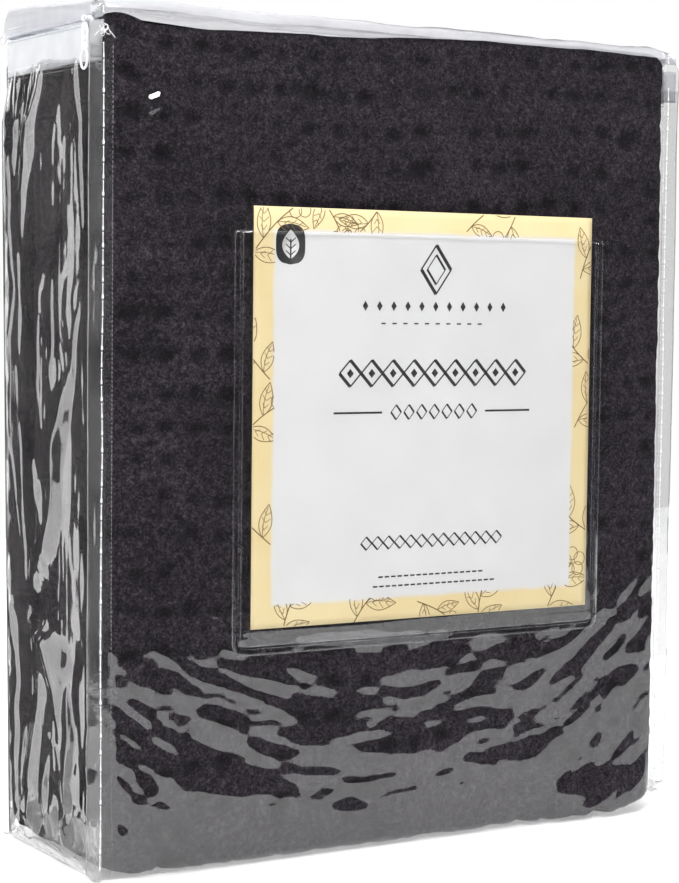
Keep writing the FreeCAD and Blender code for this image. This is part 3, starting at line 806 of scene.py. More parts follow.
def settle(points):
    """The folded block's own softness: crown, rounded ends and uneven layers."""
    x, y, z = points[..., 0], points[..., 1], points[..., 2]
    low_reach, back_reach = 31.0 * MM, 13.0 * MM
    for side in (-1, 1):
        centre = (side * (BLANKET_HIGH.y - low_reach), BLANKET_LOW.z + low_reach)
        y, z = push_out(y, z, centre, (side, -1), 16)
    for side in (-1, 1):
        x, y = push_out(x, y, (side * (CLOTH_EDGE - back_reach), BLANKET_HIGH.y - back_reach), (side, 1), 7)
    depth = np.clip(y / BLANKET_HIGH.y, -1, 1)
    crown = front_crown(x, z)
    y = y + np.where(depth < 0, -crown * np.abs(depth), crown * 0.7 * np.abs(depth))
    # the top edge dips on the left, stands higher on the right and is round at its two ends
    end = np.clip((np.abs(x) - (WALL_X - 14 * MM)) / (14 * MM), 0, 1)
    drop = np.where(x > 0, 11.0, 4.0) * MM * (1 - np.sqrt(1 - 0.98 * end ** 2))
    lift = smooth((z - TOP * 0.8) / (TOP * 0.19))
    top_wave = np.interp(x, TOP_WAVE_X, TOP_WAVE_Z) * MM
    behind = 5.0 * MM * smooth((y + 0.050) / 0.026)
    z = z - drop * lift ** 3 + lift * (top_wave - behind + 0.8 * MM * value_noise(x * 22, y * 40, 3))
    # the foot settles on the film below it
    z = z - 0.8 * MM * (1 - smooth(z / (18 * MM)))
    y = y - 1.2 * MM * (1 - smooth(z / (26 * MM))) * smooth(-depth * 1.6)
    at_side = smooth((np.abs(x) - 0.10) / 0.05)
    inner = smooth((y + WALL_Y) / (14 * MM))
    fuller = 2.2 * MM * np.clip(1 - (y / WALL_Y) ** 2, 0, 1) + 3.6 * MM * smooth(depth)
    x = x + fuller * np.sign(x) * at_side * ease_out(z / (60 * MM))
    wander = 0.7 * MM * value_noise(z * 11.0, depth * 7.0, 4)
    wander = wander + 0.6 * MM * value_noise(z * 34.0, depth * 13.0, 6)
    wander = wander + 0.8 * MM * (fractal(z * 70.0, depth * 34.0, 14, 2) - 0.6)
    x = x + wander * np.sign(x) * at_side * inner
    return lean(np.stack(inside_film(x, y, z), -1))


def folded_surface(xs, ws, ys, zs, normals, lift):
    """Points of one side of the folded cloth, a given height off its middle surface."""
    w = ws[None, :]
    y = ys[:, None] + normals[:, 0:1] * w
    z = zs[:, None] + normals[:, 1:2] * w
    x = np.broadcast_to(xs[None, :], y.shape)
    points = np.stack([x, y, z], -1)
    return points - grid_normals(points) * lift[..., None]


def make_blanket():
    """The throw, folded in two four times, as one closed cloth with its layers showing at the sides."""
    fine, rough = 2.1 * MM, 22.0 * MM
    xs, ws, us = width_path(fine, rough)
    ys, zs, normals, vs = height_path(fine, rough)
    along_u = us[None, :] + 0.0 * vs[:, None]
    along_v = vs[:, None] + 0.0 * us[None, :]
    relief = waffle(along_u, along_v)
    relief = relief + 0.10 * fractal(along_u * 240, along_v * 240, 11, 2)
    relief = relief + 0.16 * value_noise(along_u * 110, along_v * 95, 13)
    shown = CLOTH / 2 - PIT_DEPTH + PIT_DEPTH * relief
    hidden = np.full_like(shown, -CLOTH / 2)
    outer = settle(folded_surface(xs, ws, ys, zs, normals, shown))
    inner = settle(folded_surface(xs, ws, ys, zs, normals, hidden))
    verts, faces = coarse_backed_shell(outer, inner, 4)
    obj = new_object("folded_waffle_throw", verts, faces, COTTON)
    # how raised each point is, for painted shade in the colour: lighter on the ridges, darker in the pits
    raised = obj.data.attributes.new("raised", "FLOAT", "POINT")
    shown_values = smooth((relief - 0.15) / 0.70).reshape(-1)
    values = np.concatenate([shown_values, np.zeros(len(verts) - relief.size)])
    raised.data.foreach_set("value", values.tolist())
    return obj


blanket = make_blanket()
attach(blanket, "bag")
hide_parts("blanket")


# ---- the long film: back, bottom, front, and on over the top as the lid ----
def film_path():
    """Places along the film in the YZ plane, from the back's top edge round to the lid's skirt."""
    r = BOTTOM_ROUND
    top_round = 6.0 * MM
    crinkled = 150 * MM
    upper = TOP - 52 * MM
    fold_low = ZIP_LINE - 6 * MM
    fold_high = TOP - top_round
    line = Outline()
    line.run((WALL_Y, BACK_TOP), (WALL_Y, r), 5.0 * MM)
    line.arc(WALL_Y - r, r, r, 0, -math.pi / 2, 12)
    line.run((WALL_Y - r, 0.0), (-WALL_Y + r, 0.0), 5.0 * MM)
    line.arc(-WALL_Y + r, r, r, -math.pi / 2, -math.pi, 14)
    line.run((-WALL_Y, r), (-WALL_Y, crinkled), 1.5 * MM)
    line.run((-WALL_Y, crinkled), (-WALL_Y, upper), 2.7 * MM)
    line.run((-WALL_Y, upper), (-WALL_Y, fold_low), 1.4 * MM)
    line.run((-WALL_Y, fold_low), (-WALL_Y, fold_high), 0.9 * MM)
    line.arc(-WALL_Y + top_round, TOP - top_round, top_round, math.pi, math.pi / 2, 7)
    line.run((-WALL_Y + top_round, TOP), (SKIRT_Y - top_round, TOP), 3.2 * MM)
    line.arc(SKIRT_Y - top_round, TOP - top_round, top_round, math.pi / 2, 0, 7)
    return np.array(line.points + [(SKIRT_Y, TOP - top_round), (SKIRT_Y, TOP - SKIRT_DROP)])


def make_bag_film():
    """One film from the back's top edge, under the bag, up the front and over the top as the lid."""
    path = film_path()
    inner_x = np.linspace(-WALL_X, WALL_X, 172)
    near = np.array([1.2, 2.6, 4.6]) * MM
    inner_x = np.sort(np.concatenate([inner_x, WALL_X - near, -WALL_X + near]))
    edge = np.array([0.2, 0.4, 0.6, 0.8, 1.0]) * ALLOWANCE
    xs = np.concatenate([-(WALL_X + edge[::-1]), inner_x, WALL_X + edge])
    tangent = np.gradient(path, axis=0)
    tangent /= np.linalg.norm(tangent, axis=1, keepdims=True)
    # the path goes down the back, under, and up the front: this normal points outwards
    ny, nz = -tangent[:, 1:2], tangent[:, 0:1]
    y, z = path[:, 0:1] + 0 * xs[None, :], path[:, 1:2] + 0 * xs[None, :]
    x = xs[None, :] + 0 * z
    ny, nz = ny + 0 * x, nz + 0 * x
    past = np.clip(np.abs(x) - WALL_X, 0, None)
    core = np.clip(x, -WALL_X, WALL_X)
    near_edge = smooth((WALL_X - np.abs(core)) / (5 * MM))
    front, back = np.clip(-ny, 0, 1), np.clip(ny, 0, 1)
    top, bottom = np.clip(nz, 0, 1), np.clip(-nz, 0, 1)
    under = smooth(1 - bottom * 1.15)
    at_front = front_out(core, z)
    puff = 1.4 * MM + 1.2 * MM * fractal(core * 26, y * 70, 51, 3)
    at_top = top * puff * smooth(np.minimum(y + WALL_Y, SKIRT_Y - y) / (9 * MM))
    # the lower half moves straight forward, so that the bend under the front keeps its round
    low_half = z < TOP / 2
    forward = np.where(low_half, smooth((-y - 10 * MM) / (39 * MM)) * at_front, 0)
    out = np.where(low_half, 0, front * at_front) + near_edge * at_top + back * back_out(core, z) * under
    # the front's top edge wavers along its length
    rim_place = smooth((z - (TOP - 9 * MM)) / (8 * MM)) * smooth((-WALL_Y + 12 * MM - y) / (9 * MM))
    rim_drop = rim_place * (0.2 * MM + 0.9 * MM * fractal(core * 24, 0 * z + 1, 81, 3)) * near_edge
    points = np.stack([core, y + ny * out - forward, z + nz * out - rim_drop], -1)
    # past the wall: a seam allowance that sticks out, or the lid's side skirt
    lid_side = smooth((z - (TOP - 9 * MM)) / (7 * MM)) * smooth((y + WALL_Y - 1 * MM) / (9 * MM))
    sign = np.sign(x)
    upturn = bottom * 0.9 * (1 - lid_side)
    way = np.stack([sign * (1 - lid_side) * (1 - 0.45 * bottom), 0 * x, upturn - lid_side], -1)
    way /= np.maximum(np.linalg.norm(way, axis=-1, keepdims=True), 1e-9)
    # the lid's front corners are cut round
    corner = smooth((z - (TOP - 12 * MM)) / (10 * MM)) * (1 - lid_side) * 5.0 * MM
    past_cut = np.minimum(past, ALLOWANCE - corner * (past > 0))
    low_back = smooth((y - (WALL_Y - 26 * MM)) / (20 * MM)) * (1 - smooth((z - 4 * MM) / (10 * MM)))
    past_cut = past_cut * (1 - 0.9 * low_back)
    points = points + way * past_cut[..., None]
    points[..., 1] += flange_wave(z, past, sign) * (1 - lid_side) * front
    skirt_wave = lid_side * smooth(past / (1.5 * MM))
    points[..., 0] += sign * skirt_wave * (1.0 * MM + 0.5 * MM * value_noise(y * 60, z * 90, 91))
    ragged = bottom * past / ALLOWANCE
    points[..., 2] += ragged * 2.2 * MM * (0.3 + value_noise(y * 90, sign, 95))
    points[..., 0] += ragged * 1.6 * MM * value_noise(y * 130, sign, 97)
    # the back seam allowance is folded over on the back
    fold = (past > 0) & (ny > 0.5) & (z < BACK_TOP + 1 * MM)
    folded_x, folded_y = folded_back(z, past, sign, 0.3 * MM)
    points[..., 0] = np.where(fold, folded_x, points[..., 0])
    points[..., 1] = np.where(fold, folded_y, points[..., 1])
    points = lean(points)
    points[..., 2] = np.maximum(points[..., 2], 0.0)
    fold_top = ZIP_LINE - 4 * MM
    obj = shell_object("bag_film", points, SHELL, FRONT_FILM)
    obj.data.materials.append(SEAM_FILM)
    obj.data.materials.append(LID_FILM)
    strip = (np.abs(core) > WALL_X - FEED_LINE) & (front > 0.5) & (z < fold_top)
    hazy = (z > TOP - 5 * MM) | (y > SKIRT_Y - 1 * MM) & (z > BACK_TOP)
    region = np.where((past > 0) & (lid_side < 0.5) | strip, 1, np.where(hazy, 2, 0))
    paint_regions(obj, region)
    return obj


bag_film = make_bag_film()
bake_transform(bag_film)
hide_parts("wrap_sheet", "lid_sheet")


# ---- the side panels, with their wrinkles and their turned-out seam allowances ----
def make_side_film(side, name, node):
    """A side panel; its grid's outer rows and columns are the seam allowances."""
    wall = np.arange(-WALL_Y + 0.4 * MM, WALL_Y - 0.3 * MM, 0.7 * MM)
    foot_top = 60 * MM
    low_rows = np.arange(0.6 * MM, foot_top, 1.5 * MM)
    heights = np.concatenate([low_rows, np.arange(foot_top, BACK_TOP, 2.3 * MM), [BACK_TOP]])
    past_steps = np.array([1.0, 0.75, 0.5, 0.25]) * (ALLOWANCE - 0.4 * MM)
    y = np.concatenate([np.full(4, wall[0]), wall, np.full(4, wall[-1])])
    past_y = np.concatenate([past_steps, np.zeros(len(wall)), past_steps[::-1]])
    z = np.concatenate([np.full(4, heights[0]), heights])
    past_z = np.concatenate([past_steps, np.zeros(len(heights))])
    yy, zz = np.meshgrid(y, z)
    past = np.maximum(*np.meshgrid(past_y, past_z))
    height = side_out(side, yy, zz)
    flat = (past > 0).astype(float)
    low = np.meshgrid(y, past_z)[1] > 0
    front = (yy < 0).astype(float)
    x = WALL_X + np.where(past > 0, 0.3 * MM + past, height)
    # the foot's allowance turns up and is crumpled, the back's is folded over on the back
    ragged = low * past / ALLOWANCE * (1 - 0.85 * smooth((np.abs(yy) - (WALL_Y - 22 * MM)) / (18 * MM)))
    crumple = 1.6 * MM * ragged * value_noise(yy * 130, side + 0 * yy, 97)
    x = np.where(low, WALL_X + 0.3 * MM + past * 0.5 + crumple, x)
    lift = ragged * (ALLOWANCE * 0.85 + 2.2 * MM * (0.3 + value_noise(yy * 90, side + 0 * yy, 95)))
    wave = flat * flange_wave(zz, past, float(side)) * front
    fold = (past > 0) & (yy > 0) & ~low
    folded_x, folded_y = folded_back(zz, past, 1.0, 0.75 * MM)
    x = np.where(fold, folded_x, x)
    yy = np.where(fold, folded_y, yy + wave)
    zz = zz + lift
    points = lean(np.stack([side * x, yy, zz], -1))
    obj = shell_object(name, points, SHELL, SIDE_FILM, side=-side)
    obj.data.materials.append(SEAM_FILM)
    paint_regions(obj, (past > 0).astype(int))
    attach(obj, "bag")
    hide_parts(node)
    return obj


make_side_film(-1, "left_side_film", "left_gusset")
make_side_film(1, "right_side_film", "right_gusset")


# ---- seam threads ----
def place_on_line(line, distance):
    """Points a given distance along a line, and the whole line's length."""
    line = np.asarray(line, float)
    steps = np.linalg.norm(np.diff(line, axis=0), axis=1)
    total = np.concatenate([[0], np.cumsum(steps)])
    return np.stack([np.interp(distance, total, line[:, k]) for k in range(3)], -1), total[-1]


def stitch_line(bag, line, thread=0.17 * MM, knot=0.56 * MM, pitch=7.7 * MM, length=6.9 * MM, seed=0):
    """Long stitches with a small knot where each one goes through the film."""
    total = place_on_line(line, 0.0)[1]
    for number in range(int(total / pitch)):
        start = number * pitch + 0.3 * MM
        t = np.linspace(start, start + length, 7)
        path = place_on_line(line, t)[0]
        lift = np.sin(np.linspace(0, math.pi, 7))
        size = thread * (0.75 + 0.35 * lift)
        size[0] = size[-1] = knot * 0.55
        size[1] = knot * (0.85 + 0.2 * math.sin(number * 2.1 + seed))
        bag.add(*tube_mesh(path, size, 6, frame_up=(1.0, 0.3, 0.2)))


def seam_path(side, front, z0, z1):
    """The line of an upright seam, at the front or folded over at the back."""
    z = np.linspace(z0, z1, 140)
    past = SEAM_LINE + 0.35 * MM * value_noise(z * 30, side + 0 * z, 141)
    if front:
        # the seam follows the film round its bottom bend
        y = -WALL_Y - 0.25 * MM + flange_wave(z, past, float(side)) + bottom_bend(z)
        return lean(np.stack([side * (WALL_X + past), y, z], -1))
    x, y = folded_back(z, past, side, 1.1 * MM)
    return lean(np.stack([x, y, z], -1))


def loose_end(bag, start, seed):
    """A short curl of thread left where the seam was tied off."""
    t = np.linspace(0, 1, 34)
    a = seed * 1.7
    x = start[0] + 3.6 * MM * t * np.sin(3.1 * t + a) + 1.3 * MM * np.sin(15 * t + a)
    y = start[1] - 1.2 * MM - 0.6 * MM * np.sin(9 * t + a)
    z = start[2] - 3.6 * MM * t + 1.8 * MM * np.sin(13 * t + 2 * a)
    bag.add(*tube_mesh(np.stack([x, y, z], -1), 0.15 * MM, 5))


def make_upright_threads(side, front, where):
    """The stitches of one upright seam, and the loose ends at the front left corner."""
    bag = MeshBag()
    top = ZIP_LINE - 5 * MM if front else TAPE_BOTTOM - 3 * MM
    stitch_line(bag, seam_path(side, front, 6 * MM, top), seed=side)
    if front and side < 0:
        start = (-WALL_X - 1.0 * MM, -WALL_Y - 0.6 * MM, ZIP_LINE - 1.0 * MM)
        for seed in (1, 2, 3):
            loose_end(bag, start, seed)
    obj = bag.make(where + "_seam_thread", THREAD)
    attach(obj, "bag")
    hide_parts(where + "_stitches")


def make_bottom_threads(side, where):
    """The stitches under one side, between the two bottom bends."""
    bag = MeshBag()
    y = np.linspace(-WALL_Y + BOTTOM_ROUND, WALL_Y - BOTTOM_ROUND - 4 * MM, 60)
    x = side * (WALL_X + 1.5 * MM) + 0 * y
    stitch_line(bag, lean(np.stack([x, y, 2.0 * MM + 0 * y], -1)), seed=side)
    obj = bag.make(where + "_seam_thread", THREAD)
    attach(obj, "bag")
    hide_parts(where + "_stitches")


def make_lid_threads():
    """The stitches at the two ends of the lid's front flange."""
    bag = MeshBag()
    for side in (-1, 1):
        z = np.linspace(ZIP_LINE + 1.6 * MM, TOP - 0.6 * MM, 12)
        line = np.stack([side * (WALL_X + SEAM_LINE) + 0 * z, -WALL_Y - 0.3 * MM + 0 * z, z], -1)
        stitch_line(bag, lean(line), pitch=3.6 * MM, length=3.2 * MM)
    obj = bag.make("lid_seam_thread", THREAD)
    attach(obj, "lid")
    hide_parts("lid_flange_stitches")


make_upright_threads(-1, True, "front_left")
make_upright_threads(1, True, "front_right")
make_upright_threads(-1, False, "back_left")
make_upright_threads(1, False, "back_right")
make_bottom_threads(-1, "bottom_left")
make_bottom_threads(1, "bottom_right")
make_lid_threads()


# ---- cut edges of the film, which shine because light runs out of them ----
def make_edge_lines():
    bag = MeshBag()
    for side in (-1, 1):
        z = np.linspace(3 * MM, ZIP_LINE - 4.6 * MM, 150)
        past = ALLOWANCE - 0.1 * MM + 0 * z
        y = -WALL_Y + 0.1 * MM + flange_wave(z, past, float(side)) + bottom_bend(z)
        bag.add(*tube_mesh(lean(np.stack([side * (WALL_X + past), y, z], -1)), 0.19 * MM, 6))
        z = np.linspace(12 * MM, TAPE_BOTTOM - 1 * MM, 120)
        x, y = folded_back(z, ALLOWANCE - 0.3 * MM + 0 * z, side, 0.6 * MM)
        bag.add(*tube_mesh(lean(np.stack([x, y, z], -1)), 0.26 * MM, 6))
    # a dotted line pressed into the front film by the sewing machine's feed
    x = -(WALL_X - FEED_LINE)
    for z in np.arange(16 * MM, ZIP_LINE - 12 * MM, 2.1 * MM):
        ends = np.array([z, z + 0.6 * MM, z + 1.2 * MM])
        y = -(WALL_Y + front_out(x + 0 * ends, ends)) - 0.35 * MM
        line = np.stack([x + 0 * ends, y, ends], -1)
        bag.add(*tube_mesh(lean(line), 0.13 * MM, 4))
    obj = bag.make("film_cut_edges", EDGE_FILM)
    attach(obj, "bag")


make_edge_lines()


# ---- the zipper: two woven tapes, two nylon coils, slider and pull ----
def zip_plan(offset, start_y):
    """The zipper's line seen from above: left side, back and right side."""
    corner = 5.0 * MM
    x, y = WALL_X + offset, WALL_Y + offset
    points = [(-x, v) for v in np.linspace(start_y, y - corner, 40)]
    for t in np.linspace(math.pi, math.pi / 2, 8)[1:]:
        points.append((-x + corner + corner * math.cos(t), y - corner + corner * math.sin(t)))
    points += [(v, y) for v in np.linspace(-x + corner, x - corner, 90)[1:]]
    for t in np.linspace(math.pi / 2, 0, 8)[1:]:
        points.append((x - corner + corner * math.cos(t), y - corner + corner * math.sin(t)))
    points += [(x, v) for v in np.linspace(y - corner, start_y, 40)[1:]]
    return np.array(points)


def at_height(plan, z):
    """A line seen from above, put at a height: one number, or one for each point."""
    return np.concatenate([plan, np.broadcast_to(z, len(plan))[:, None]], 1)


def hem_wave(x, y, seed):
    """How far the tape's edge wavers up and down along the zipper."""
    return value_noise(x * 40 + y * 33, 0 * x, seed)


def make_tape(name, node, body, z0, z1, wave_seed):
    """A woven tape round three sides, its two ends turned out flat behind the front seams."""
    plan = zip_plan(0.5 * MM, ZIP_START)
    turned = np.array([7.0, 5.6, 4.0, 2.4, 1.0]) * MM
    first = [(-(WALL_X + t), -WALL_Y + 0.7 * MM + 0.5 * MM * (t < 1.5 * MM)) for t in turned]
    plan = np.concatenate([first, plan, [(-a, b) for a, b in first[::-1]]])
    rows = np.linspace(z0, z1, 9)
    count = len(plan)
    x = np.broadcast_to(plan[:, 0], (len(rows), count)).copy()
    y = np.broadcast_to(plan[:, 1], (len(rows), count)).copy()
    z = np.broadcast_to(rows[:, None], (len(rows), count)).copy()
    way = np.clip((rows - z0) / (z1 - z0), 0, 1)[:, None]
    ripple = 0.45 * MM * value_noise(x * 35 + y * 30, z * 40, wave_seed) * np.sin(math.pi * way)
    x = x + np.sign(x) * ripple * (np.abs(y) < WALL_Y - 6 * MM)
    y = y + ripple * (y > WALL_Y - 6 * MM) * 0.6
    z = z + 0.35 * MM * hem_wave(x, y, wave_seed + 3) * (1 - way)
    points = lean(np.stack([x, y, z], -1))
    obj = shell_object(name, points, 0.45 * MM, TAPE, side=-1.0)
    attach(obj, body)
    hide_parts(node)


def make_coil(name, node, body, z):
    """A nylon coil: its turns, and the cord that runs inside them."""
    line = at_height(zip_plan(0.35 * MM, ZIP_START), z)
    total = place_on_line(line, 0.0)[1]
    turns = int(total / (1.25 * MM))
    t = np.linspace(0, 1, turns * 8)
    path = place_on_line(line, t * total)[0]
    ahead = np.gradient(path, axis=0)
    ahead /= np.linalg.norm(ahead, axis=1, keepdims=True)
    across = np.cross(ahead, (0.0, 0.0, 1.0))
    angle = t * turns * 2 * math.pi
    path = path + across * (0.62 * MM * np.cos(angle))[:, None]
    path[:, 2] += 0.66 * MM * np.sin(angle)
    bag = MeshBag()
    bag.add(*tube_mesh(lean(path), 0.27 * MM, 5))
    bag.add(*tube_mesh(lean(line), 0.42 * MM, 6))
    obj = bag.make(name, COIL)
    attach(obj, body)
    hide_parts(node)


def make_tape_stitches(name, node, body, z):
    """One row of stitches that holds the tape to the film."""
    bag = MeshBag()
    line = lean(at_height(zip_plan(0.95 * MM, -WALL_Y + 3.0 * MM), z))
    stitch_line(bag, line, thread=0.15 * MM, knot=0.24 * MM, pitch=3.4 * MM, length=2.9 * MM)
    obj = bag.make(name, THREAD)
    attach(obj, body)
    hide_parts(node)


def make_tape_hem():
    """Two bright lines along the lower tape's bottom edge."""
    edge = MeshBag()
    plan = zip_plan(0.75 * MM, ZIP_START)
    for drop, size in ((0.5, 0.30), (2.1, 0.22)):
        height = TAPE_BOTTOM - drop * MM + 0.4 * MM * hem_wave(plan[:, 0], plan[:, 1], 8)
        edge.add(*tube_mesh(lean(at_height(plan, height)), size * MM, 6))
    obj = edge.make("tape_hem_edge", EDGE_FILM)
    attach(obj, "bag")


make_tape("lower_woven_tape", "lower_zip_tape", "bag", TAPE_BOTTOM, COIL_LOW.z + 0.4 * MM, 151)
make_tape("upper_woven_tape", "upper_zip_tape", "lid", TOP_COIL_HIGH.z - 0.4 * MM, TAPE_TOP, 157)
make_coil("lower_nylon_coil", "lower_zip_coil", "bag", (COIL_LOW.z + COIL_HIGH.z) / 2)
make_coil("upper_nylon_coil", "upper_zip_coil", "lid", (TOP_COIL_LOW.z + TOP_COIL_HIGH.z) / 2)
make_tape_stitches("lower_tape_thread", "lower_tape_stitches", "bag", TAPE_BOTTOM + 2.6 * MM)
make_tape_hem()
make_tape_stitches("upper_tape_thread", "upper_tape_stitches", "lid", TAPE_TOP - 1.4 * MM)


def rounded_block(low, high, bevel, pinch=None):
    """A block with rounded edges, and if asked narrower towards its two ends along Y."""
    low, high = np.array(low), np.array(high)
    mesh = bmesh.new()
    bmesh.ops.create_cube(mesh, size=1.0)
    bmesh.ops.subdivide_edges(mesh, edges=mesh.edges[:], cuts=3, use_grid_fill=True)
    for vertex in mesh.verts:
        unit = np.array(vertex.co) * 2
        size = (high - low) / 2
        if pinch is not None:
            size = size * np.array([1.0, 1.0, 1.0 - pinch * abs(unit[1]) ** 2.2])
        inset = np.maximum(size - bevel, 1e-6)
        corner = np.clip(unit * size, -inset, inset)
        push = unit * size - corner
        length = np.linalg.norm(push)
        if length > 1e-9:
            push = push / length * min(length, bevel)
        vertex.co = Vector((low + high) / 2 + corner + push)
    verts = [tuple(v.co) for v in mesh.verts]
    faces = [tuple(v.index for v in f.verts) for f in mesh.faces]
    mesh.free()
    return verts, faces


def closed_ring(centre, half_y, half_z, wire, tilt, steps=36, sides=10):
    """An upright oval ring of round wire in the YZ plane."""
    verts, faces = [], []
    for i in range(steps):
        a = 2 * math.pi * i / steps
        place = np.array([0.0, half_y * math.cos(a), half_z * math.sin(a)])
        out_way = np.array([0.0, math.cos(a) / half_y, math.sin(a) / half_z])
        out_way /= np.linalg.norm(out_way)
        for j in range(sides):
            b = 2 * math.pi * j / sides
            point = place + wire * (math.cos(b) * out_way + math.sin(b) * np.array([1.0, 0, 0]))
            y, z = point[1], point[2]
            point[1] = y * math.cos(tilt) - z * math.sin(tilt)
            point[2] = y * math.sin(tilt) + z * math.cos(tilt)
            verts.append(point + centre)
    for i in range(steps):
        for j in range(sides):
            a, b = i * sides + j, i * sides + (j + 1) % sides
            c, d = ((i + 1) % steps) * sides + (j + 1) % sides, ((i + 1) % steps) * sides + j
            faces.append((a, b, c, d))
    return verts, faces


def make_slider():
    """Two plates, the web between them, and the bar that carries the pull."""
    bag = MeshBag()
    low, high = np.array(SLIDER_LOW), np.array(SLIDER_HIGH)
    plate = 1.15 * MM
    inner_x = high[0]
    outer_x = -(WALL_X + 1.6 * MM)
    inner_top = 2 * ZIP_LINE - low[2]
    bag.add(*rounded_block((inner_x - plate, low[1], low[2]), (inner_x, high[1], inner_top), 0.9 * MM, 0.3))
    bag.add(*rounded_block((outer_x - plate, low[1], low[2]), (outer_x, high[1], high[2]), 0.9 * MM, 0.3))
    web = (outer_x - 0.4 * MM, SLIDER_MIDDLE_Y - 2.4 * MM, ZIP_LINE - 0.5 * MM)
    web_end = (inner_x - 0.5 * MM, SLIDER_MIDDLE_Y + 2.4 * MM, ZIP_LINE + 0.5 * MM)
    bag.add(*rounded_block(web, web_end, 0.3 * MM))
    bar = [(BAR_X, SLIDER_MIDDLE_Y + t * MM, BAR_Z) for t in np.linspace(-2.8, 2.8, 6)]
    bag.add(*tube_mesh(bar, 0.58 * MM, 12, frame_up=(1.0, 0, 0)))
    for end in (-1, 1):
        foot_y = SLIDER_MIDDLE_Y + end * 2.25 * MM
        foot = (BAR_X - 0.6 * MM, foot_y - 0.55 * MM, BAR_Z - 0.7 * MM)
        head = (outer_x - plate + 0.5 * MM, foot_y + 0.55 * MM, BAR_Z + 0.7 * MM)
        bag.add(*rounded_block(foot, head, 0.35 * MM))
    obj = bag.make("zip_slider_body", PLASTIC)
    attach(obj, "slider")
    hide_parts("zip_slider")


def make_pull():
    """The pull: an eye round the slider's bar, a cupped tongue, and the ring below it."""
    bag = MeshBag()
    verts, faces = closed_ring(np.zeros(3), 1.15 * MM, 1.15 * MM, 0.42 * MM, 0.0, 20, 8)
    bag.add([(v[1] + BAR_X, v[0] * 3.0 + SLIDER_MIDDLE_Y, v[2] + BAR_Z) for v in verts], faces)
    rows = np.linspace(BAR_Z - 1.6 * MM, PULL_LOW.z + 8.6 * MM, 18)
    t = np.linspace(0, 1, 18)
    tip = np.sqrt(np.clip(1 - np.clip((t - 0.86) / 0.19, 0, 1) ** 2, 0.1, 1))
    half = (1.5 + 1.5 * smooth(t * 3.0)) * MM * tip
    across = np.linspace(-1, 1, 13)
    y = SLIDER_MIDDLE_Y + half[:, None] * across[None, :]
    z = rows[:, None] + 0 * y
    cup = 0.35 * MM * (1 - across[None, :] ** 2) * np.sin(math.pi * t)[:, None]
    x = BAR_X - 0.55 * MM + cup + 0 * y
    bag.add(*sheet_shell(np.stack([x, y, z], -1), 1.1 * MM, -1.0))
    ring_centre = np.array([BAR_X, SLIDER_MIDDLE_Y + 0.5 * MM, PULL_LOW.z + 5.0 * MM])
    bag.add(*closed_ring(ring_centre, 3.65 * MM, 4.4 * MM, 0.62 * MM, 0.12))
    obj = bag.make("zip_pull_and_ring", PLASTIC)
    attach(obj, "pull")
    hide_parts("slider_pull")


make_slider()
make_pull()


# ---- the card and its clear pocket ----
def on_front(x, z, lift):
    """A point on the smooth front, a given height above the film."""
    x, z = np.asarray(x, float), np.asarray(z, float)
    return np.stack([x, -(WALL_Y + film_rest(x, np.minimum(z, 300 * MM)) + lift), z], -1)


def card_point(x, z, lift=0.0):
    """A point on the card, which bows forward a little along its middle."""
    u = (x - CARD_MIDDLE_X) / CARD_WIDTH
    return on_front(x, z, CARD_LIFT + CARD_BOW * (1 - 4 * u * u) + lift)


def make_card():
    """The card, with its coloured border and pale panel."""
    x, z = np.meshgrid(np.linspace(CARD_LOW.x, CARD_HIGH.x, 60), np.linspace(CARD_LOW.z, CARD_HIGH.z, 60))
    obj = shell_object("insert_card_board", card_point(x, z), 0.32 * MM, CARD_STOCK, side=-1.0)
    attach(obj, "card")
    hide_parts("insert_card")


def ink_line(bag, points, width, height=0.05 * MM):
    """A printed line: a thin flat ribbon that follows points given in mm on the card."""
    points = np.asarray(points, float) * MM
    way = np.gradient(points, axis=0)
    way /= np.maximum(np.linalg.norm(way, axis=1, keepdims=True), 1e-12)
    side = np.stack([-way[:, 1], way[:, 0]], -1) * (np.asarray(width) * MM / 2).reshape(-1, 1)
    left, right = points + side, points - side
    grid = np.stack([left, right], 1)
    layers = [card_point(CARD_LOW.x + grid[..., 0], CARD_LOW.z + grid[..., 1], h) for h in (height, 0.0)]
    rows = len(points)
    verts = np.concatenate([layer.reshape(-1, 3) for layer in layers])
    index = np.arange(rows * 2).reshape(rows, 2)
    faces = grid_faces(rows, 2, 0).tolist() + grid_faces(rows, 2, rows * 2, True).tolist()
    rim = np.concatenate([index[:, 0], index[::-1, 1]])
    after = np.roll(rim, -1)
    for a, b in zip(rim, after):
        faces.append((a, a + rows * 2, b + rows * 2, b))
    bag.add(verts, faces)


def leaf(bag, base, angle, length, width):
    """An outline leaf with a midrib and three pairs of veins."""
    t = np.linspace(0, 1, 18)
    body = np.sin(math.pi * t ** 0.85) * width / 2
    c, s = math.cos(angle), math.sin(angle)

    def turn(u, v):
        return np.stack([base[0] + u * c - v * s, base[1] + u * s + v * c], -1)

    ink_line(bag, turn(t * length, body), 0.42)
    ink_line(bag, turn(t * length, -body), 0.42)
    ink_line(bag, turn(t * length * 0.9, 0.06 * length * np.sin(3 * t)), 0.34)
    for k in (1, 2, 3):
        u0 = length * k / 4.5
        reach = width * 0.36 * math.sin(math.pi * k / 4.5)
        for way in (-1, 1):
            ink_line(bag, turn(np.array([u0, u0 + 0.14 * length]), np.array([0, way * reach])), 0.3)


